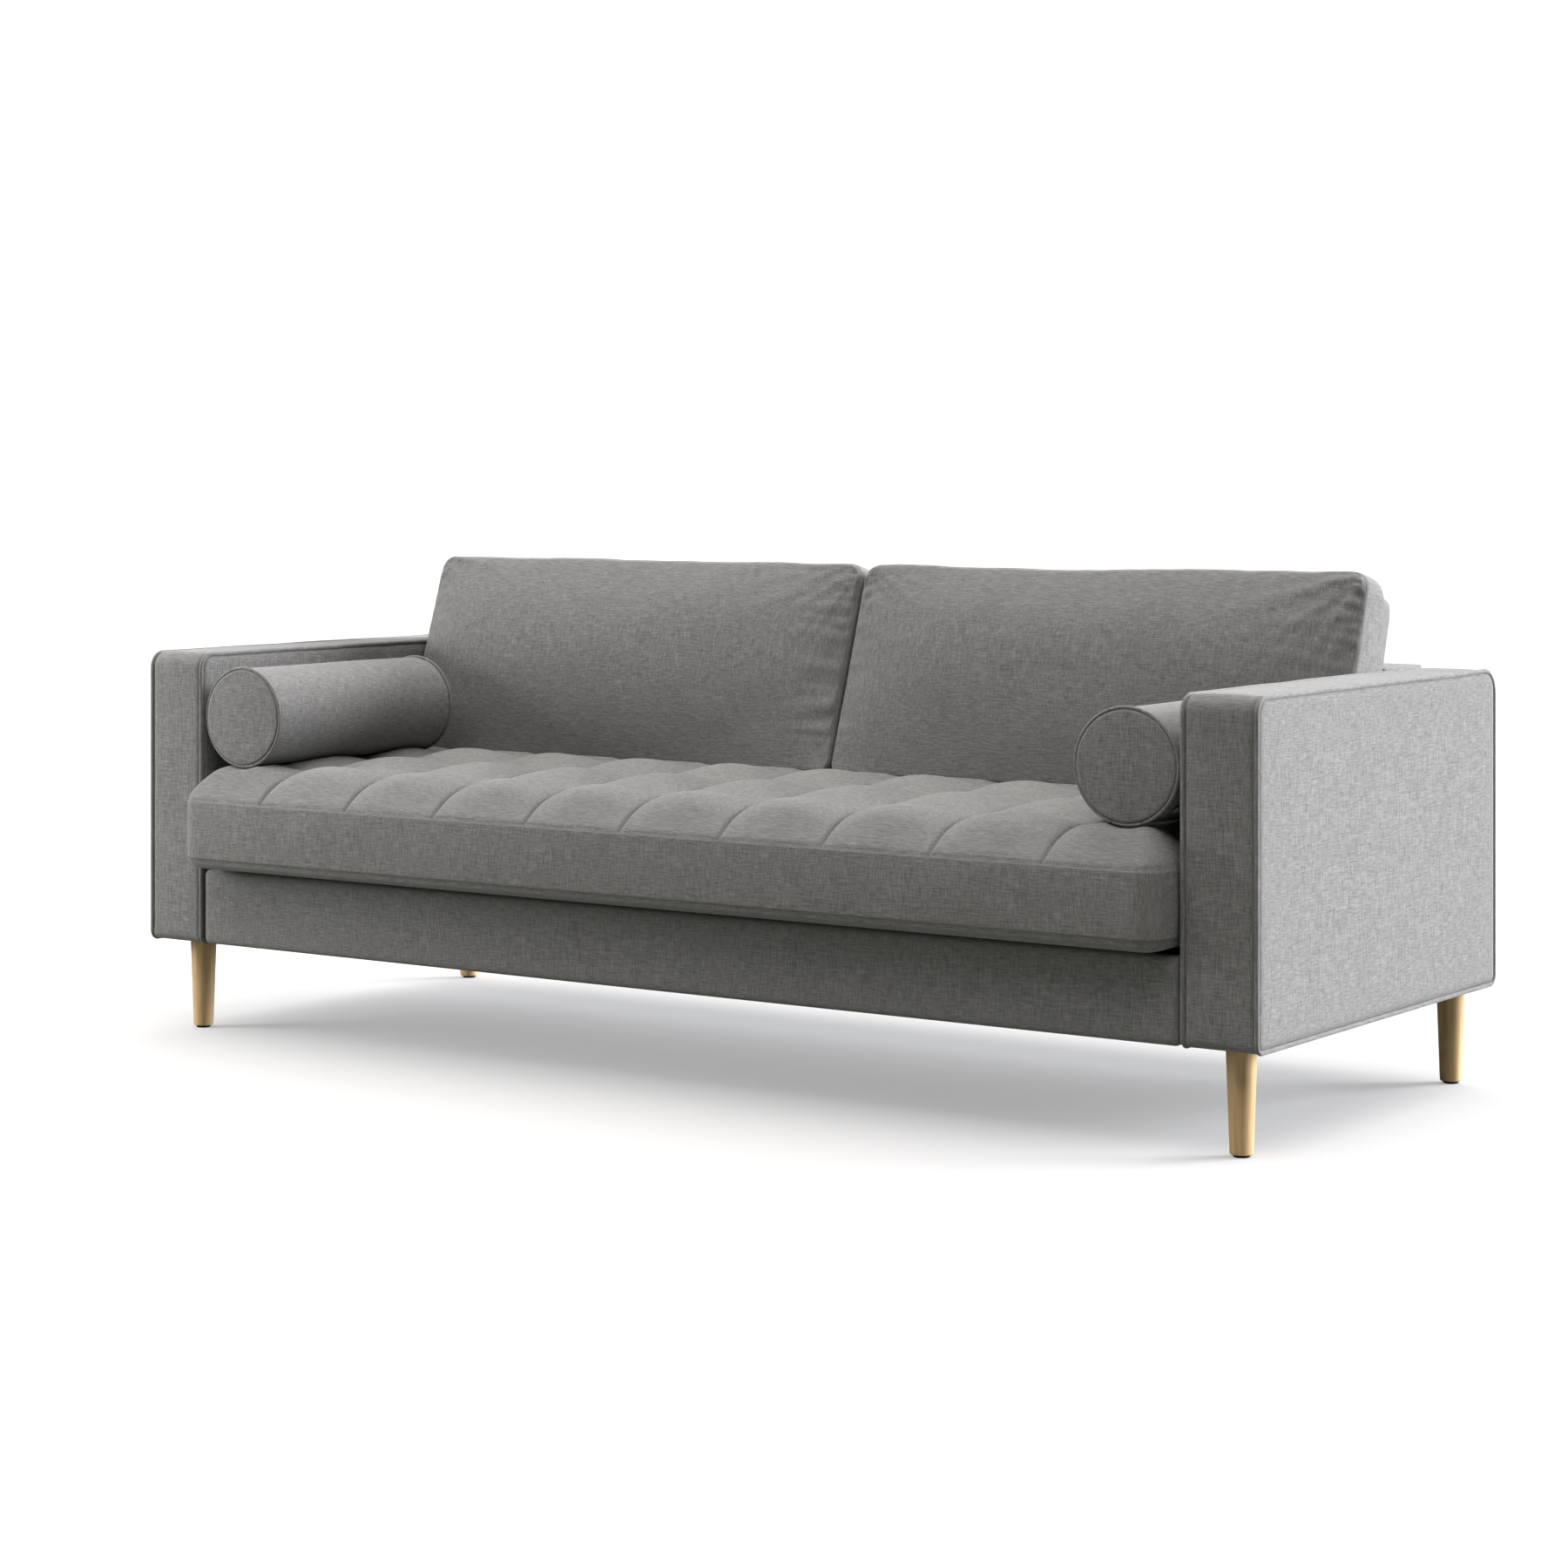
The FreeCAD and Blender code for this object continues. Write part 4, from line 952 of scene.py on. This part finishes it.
def build_back_panels():
    low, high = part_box("back_outside_cover")
    points, _, grid, faces = soft_block((low.x, low.y, low.z), (high.x, high.y - 1.0 * MM, high.z),
                                        2.3 * MM, 2.0 * MM, 5.0)
    front = grid[:, 1] == 0
    points[:, 1] = np.where(front, np.maximum(points[:, 1], low.y + 0.2 * MM), points[:, 1])
    points = list(points)
    # the cloth folds forward round each end of the back, between it and the arm
    for _, side in SIDES:
        flap_low = (high.x + 0.15 * MM, high.y - 78 * MM, low.z)
        flap_high = (high.x + 1.5 * MM, high.y - 2.0 * MM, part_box("back_top_cover")[1].z - 6 * MM)
        flap, _, _, flap_faces = soft_block(flap_low, flap_high, 0.5 * MM, 0.0, 8.0, face_axis=0,
                                            coarse=20 * MM)
        flap_faces = [tuple(v + len(points) for v in face) for face in flap_faces]
        faces += flap_faces if side > 0 else [face[::-1] for face in flap_faces]
        points += list(flap * np.array([side, 1, 1]))
    piece = make_piece("back_outside_panel", points, faces)
    finish_cover(piece, "frame", ["back_outside_cover"])

    low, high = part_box("back_top_cover")
    points, _, grid, faces = soft_block((low.x, low.y, low.z), (high.x, high.y, high.z),
                                        5 * MM, 2.0 * MM, 6.0, face_axis=2)
    points[:, 2] = np.where(grid[:, 2] == 0, np.maximum(points[:, 2], low.z + 0.2 * MM), points[:, 2])
    piece = make_piece("back_top_panel", points, faces)
    finish_cover(piece, "frame", ["back_top_cover"])

    low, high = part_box("back_inside_cover")
    slope = math.tan(LEAN)
    run = (high.z - low.z) / math.cos(LEAN)
    foot = high.y - (high.z - low.z) * slope
    thick = (foot - low.y) * math.cos(LEAN)
    points, _, grid, faces = soft_block((low.x, 0, 0), (high.x, thick, run), 5 * MM, 1.2 * MM, 7.0)
    rear = grid[:, 1] > grid[:, 1].max() // 2
    points[:, 1] = np.where(rear, np.minimum(points[:, 1], thick), points[:, 1])
    points[:, 1] = np.maximum(points[:, 1], 0.2 * MM)
    turned = points.copy()
    turned[:, 1] = low.y + points[:, 1] / math.cos(LEAN) + points[:, 2] * math.sin(LEAN)
    turned[:, 2] = low.z + points[:, 2] * math.cos(LEAN)
    piece = make_piece("back_inside_panel", turned, faces)
    finish_cover(piece, "frame", ["back_inside_cover"])


# ---- thin cloths under and inside the body -----------------------------------------------
def cloth_sheet(name, low_x, high_x, low_y, high_y, top, thick, sag, seed):
    """A stapled cloth: flat at its edges, with a slight sag and small waves between."""
    xs = graded([low_x, high_x], 8 * MM, 24 * MM)
    ys = graded([low_y, high_y], 8 * MM, 24 * MM)
    zs = np.array([0.0, 1.0])
    points, grid, faces = graded_box(xs, ys, zs)
    x, y = points[:, 0], points[:, 1]
    edge = np.minimum(np.minimum(x - low_x, high_x - x), np.minimum(y - low_y, high_y - y))
    waves = fbm(np.stack([x, y, x * 0], 1), 5.0, seed)
    drop = sag * np.clip(edge / 0.12, 0, 1) ** 1.5 * (0.75 + 0.5 * waves)
    z = top - drop - np.where(grid[:, 2] == 0, thick, 0)
    piece = make_piece(name, np.stack([x, y, z], 1), faces)
    return piece


def build_cloths():
    low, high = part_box("dust_cover")
    dust = cloth_sheet("dust_cover_cloth", low.x, high.x, low.y, high.y, high.z, 0.6 * MM, 5 * MM, 1.0)
    finish_cover(dust, "frame", ["dust_cover"], FINISHES["dust_cloth"])
    low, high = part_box("deck_cover")
    deck = cloth_sheet("deck_cloth_sheet", low.x, high.x, low.y, high.y, high.z - 0.3 * MM, 1.0 * MM,
                       1.5 * MM, 2.0)
    finish_cover(deck, "frame", ["deck_cover"], FINISHES["deck_cloth"])
    low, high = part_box("arm_base_covers")
    for label, side in SIDES:
        inner = ARM_LOW.x + 10.5 * MM
        x0, x1 = sorted((side * inner, side * high.x))
        base = cloth_sheet("arm_base_cloth_" + label, x0, x1, low.y, high.y, high.z - 0.1 * MM, 0.6 * MM,
                           1.2 * MM, 3.0 + side)
        replaced = ["arm_base_covers"] if side > 0 else []
        finish_cover(base, "frame", replaced, FINISHES["dust_cloth"])


build_arms()
build_seat_cushion()
for label, side in SIDES:
    build_back_cushion(label, side)
    build_bolster(label, side)
build_front_rail()
build_back_panels()
build_cloths()


# ---- floor, light and camera -------------------------------------------------------------
def build_stage():
    """A pale floor in a white room, both of which light the sofa less than they show."""
    material, tree, shader = new_material("studio_floor", (0.44, 0.44, 0.44), 0.95, specular=0.0)
    shader.inputs["Emission Color"].default_value = (1.0, 1.0, 1.0, 1.0)
    shader.inputs["Emission Strength"].default_value = 0.33
    quiet = tree.nodes.new("ShaderNodeBsdfDiffuse")
    quiet.inputs["Color"].default_value = (0.178, 0.183, 0.165, 1.0)
    seen = tree.nodes.new("ShaderNodeLightPath")
    blend = tree.nodes.new("ShaderNodeMixShader")
    tree.links.new(seen.outputs["Is Camera Ray"], blend.inputs["Fac"])
    tree.links.new(quiet.outputs[0], blend.inputs[1])
    tree.links.new(shader.outputs[0], blend.inputs[2])
    tree.links.new(blend.outputs[0], tree.nodes["Material Output"].inputs["Surface"])
    span = 40.0
    corners = [(-span, -span, 0), (span, -span, 0), (span, span, 0), (-span, span, 0)]
    floor = make_piece("studio_floor", corners, [(0, 1, 2, 3)], smooth=False)
    floor.data.materials.append(material)

    world = bpy.data.worlds.new("studio")
    bpy.context.scene.world = world
    world.use_nodes = True
    tree = world.node_tree
    shown = tree.nodes["Background"]
    shown.inputs["Color"].default_value = (1.0, 1.0, 1.0, 1.0)
    shown.inputs["Strength"].default_value = 1.1
    fill = tree.nodes.new("ShaderNodeBackground")
    fill.inputs["Color"].default_value = (0.97, 1.0, 0.90, 1.0)
    fill.inputs["Strength"].default_value = 0.045
    path = tree.nodes.new("ShaderNodeLightPath")
    mix = tree.nodes.new("ShaderNodeMixShader")
    tree.links.new(path.outputs["Is Camera Ray"], mix.inputs["Fac"])
    tree.links.new(fill.outputs[0], mix.inputs[1])
    tree.links.new(shown.outputs[0], mix.inputs[2])
    tree.links.new(mix.outputs[0], tree.nodes["World Output"].inputs["Surface"])


def sun(name, toward, strength, angle, color):
    data = bpy.data.lights.new(name, "SUN")
    data.energy = strength
    data.angle = math.radians(angle)
    data.color = color
    lamp = bpy.data.objects.new(name, data)
    lamp.rotation_euler = Vector(toward).to_track_quat("Z", "Y").to_euler()
    bpy.context.scene.collection.objects.link(lamp)


def softbox(name, place, target, size, power):
    data = bpy.data.lights.new(name, "AREA")
    data.shape = "RECTANGLE"
    data.size, data.size_y = size
    data.energy = power
    lamp = bpy.data.objects.new(name, data)
    lamp.location = place
    lamp.rotation_euler = (Vector(place) - Vector(target)).to_track_quat("Z", "Y").to_euler()
    lamp.visible_camera = False
    bpy.context.scene.collection.objects.link(lamp)


def build_camera():
    data = bpy.data.cameras.new("camera")
    data.lens = 79.63
    data.sensor_width = 36.0
    data.shift_y = -0.2001
    data.clip_end = 200
    camera = bpy.data.objects.new("camera", data)
    camera.location = (3.4181, -4.939, 1.0163)
    camera.rotation_euler = (math.radians(90), 0, math.radians(34.65))
    bpy.context.scene.collection.objects.link(camera)
    bpy.context.scene.camera = camera


build_stage()
sun("overhead", (-0.04, 0.0, 1.0), 4.6, 90, (1.0, 0.975, 0.965))
sun("from_right_and_behind", (1.0, 1.1, 0.32), 8.6, 34, (0.935, 0.95, 1.0))
softbox("front_left", (-2.55, -1.55, 0.95), (-0.8, -0.2, 0.5), (0.9, 0.9), 38)
build_camera()
bpy.context.scene.view_settings.view_transform = "Standard"
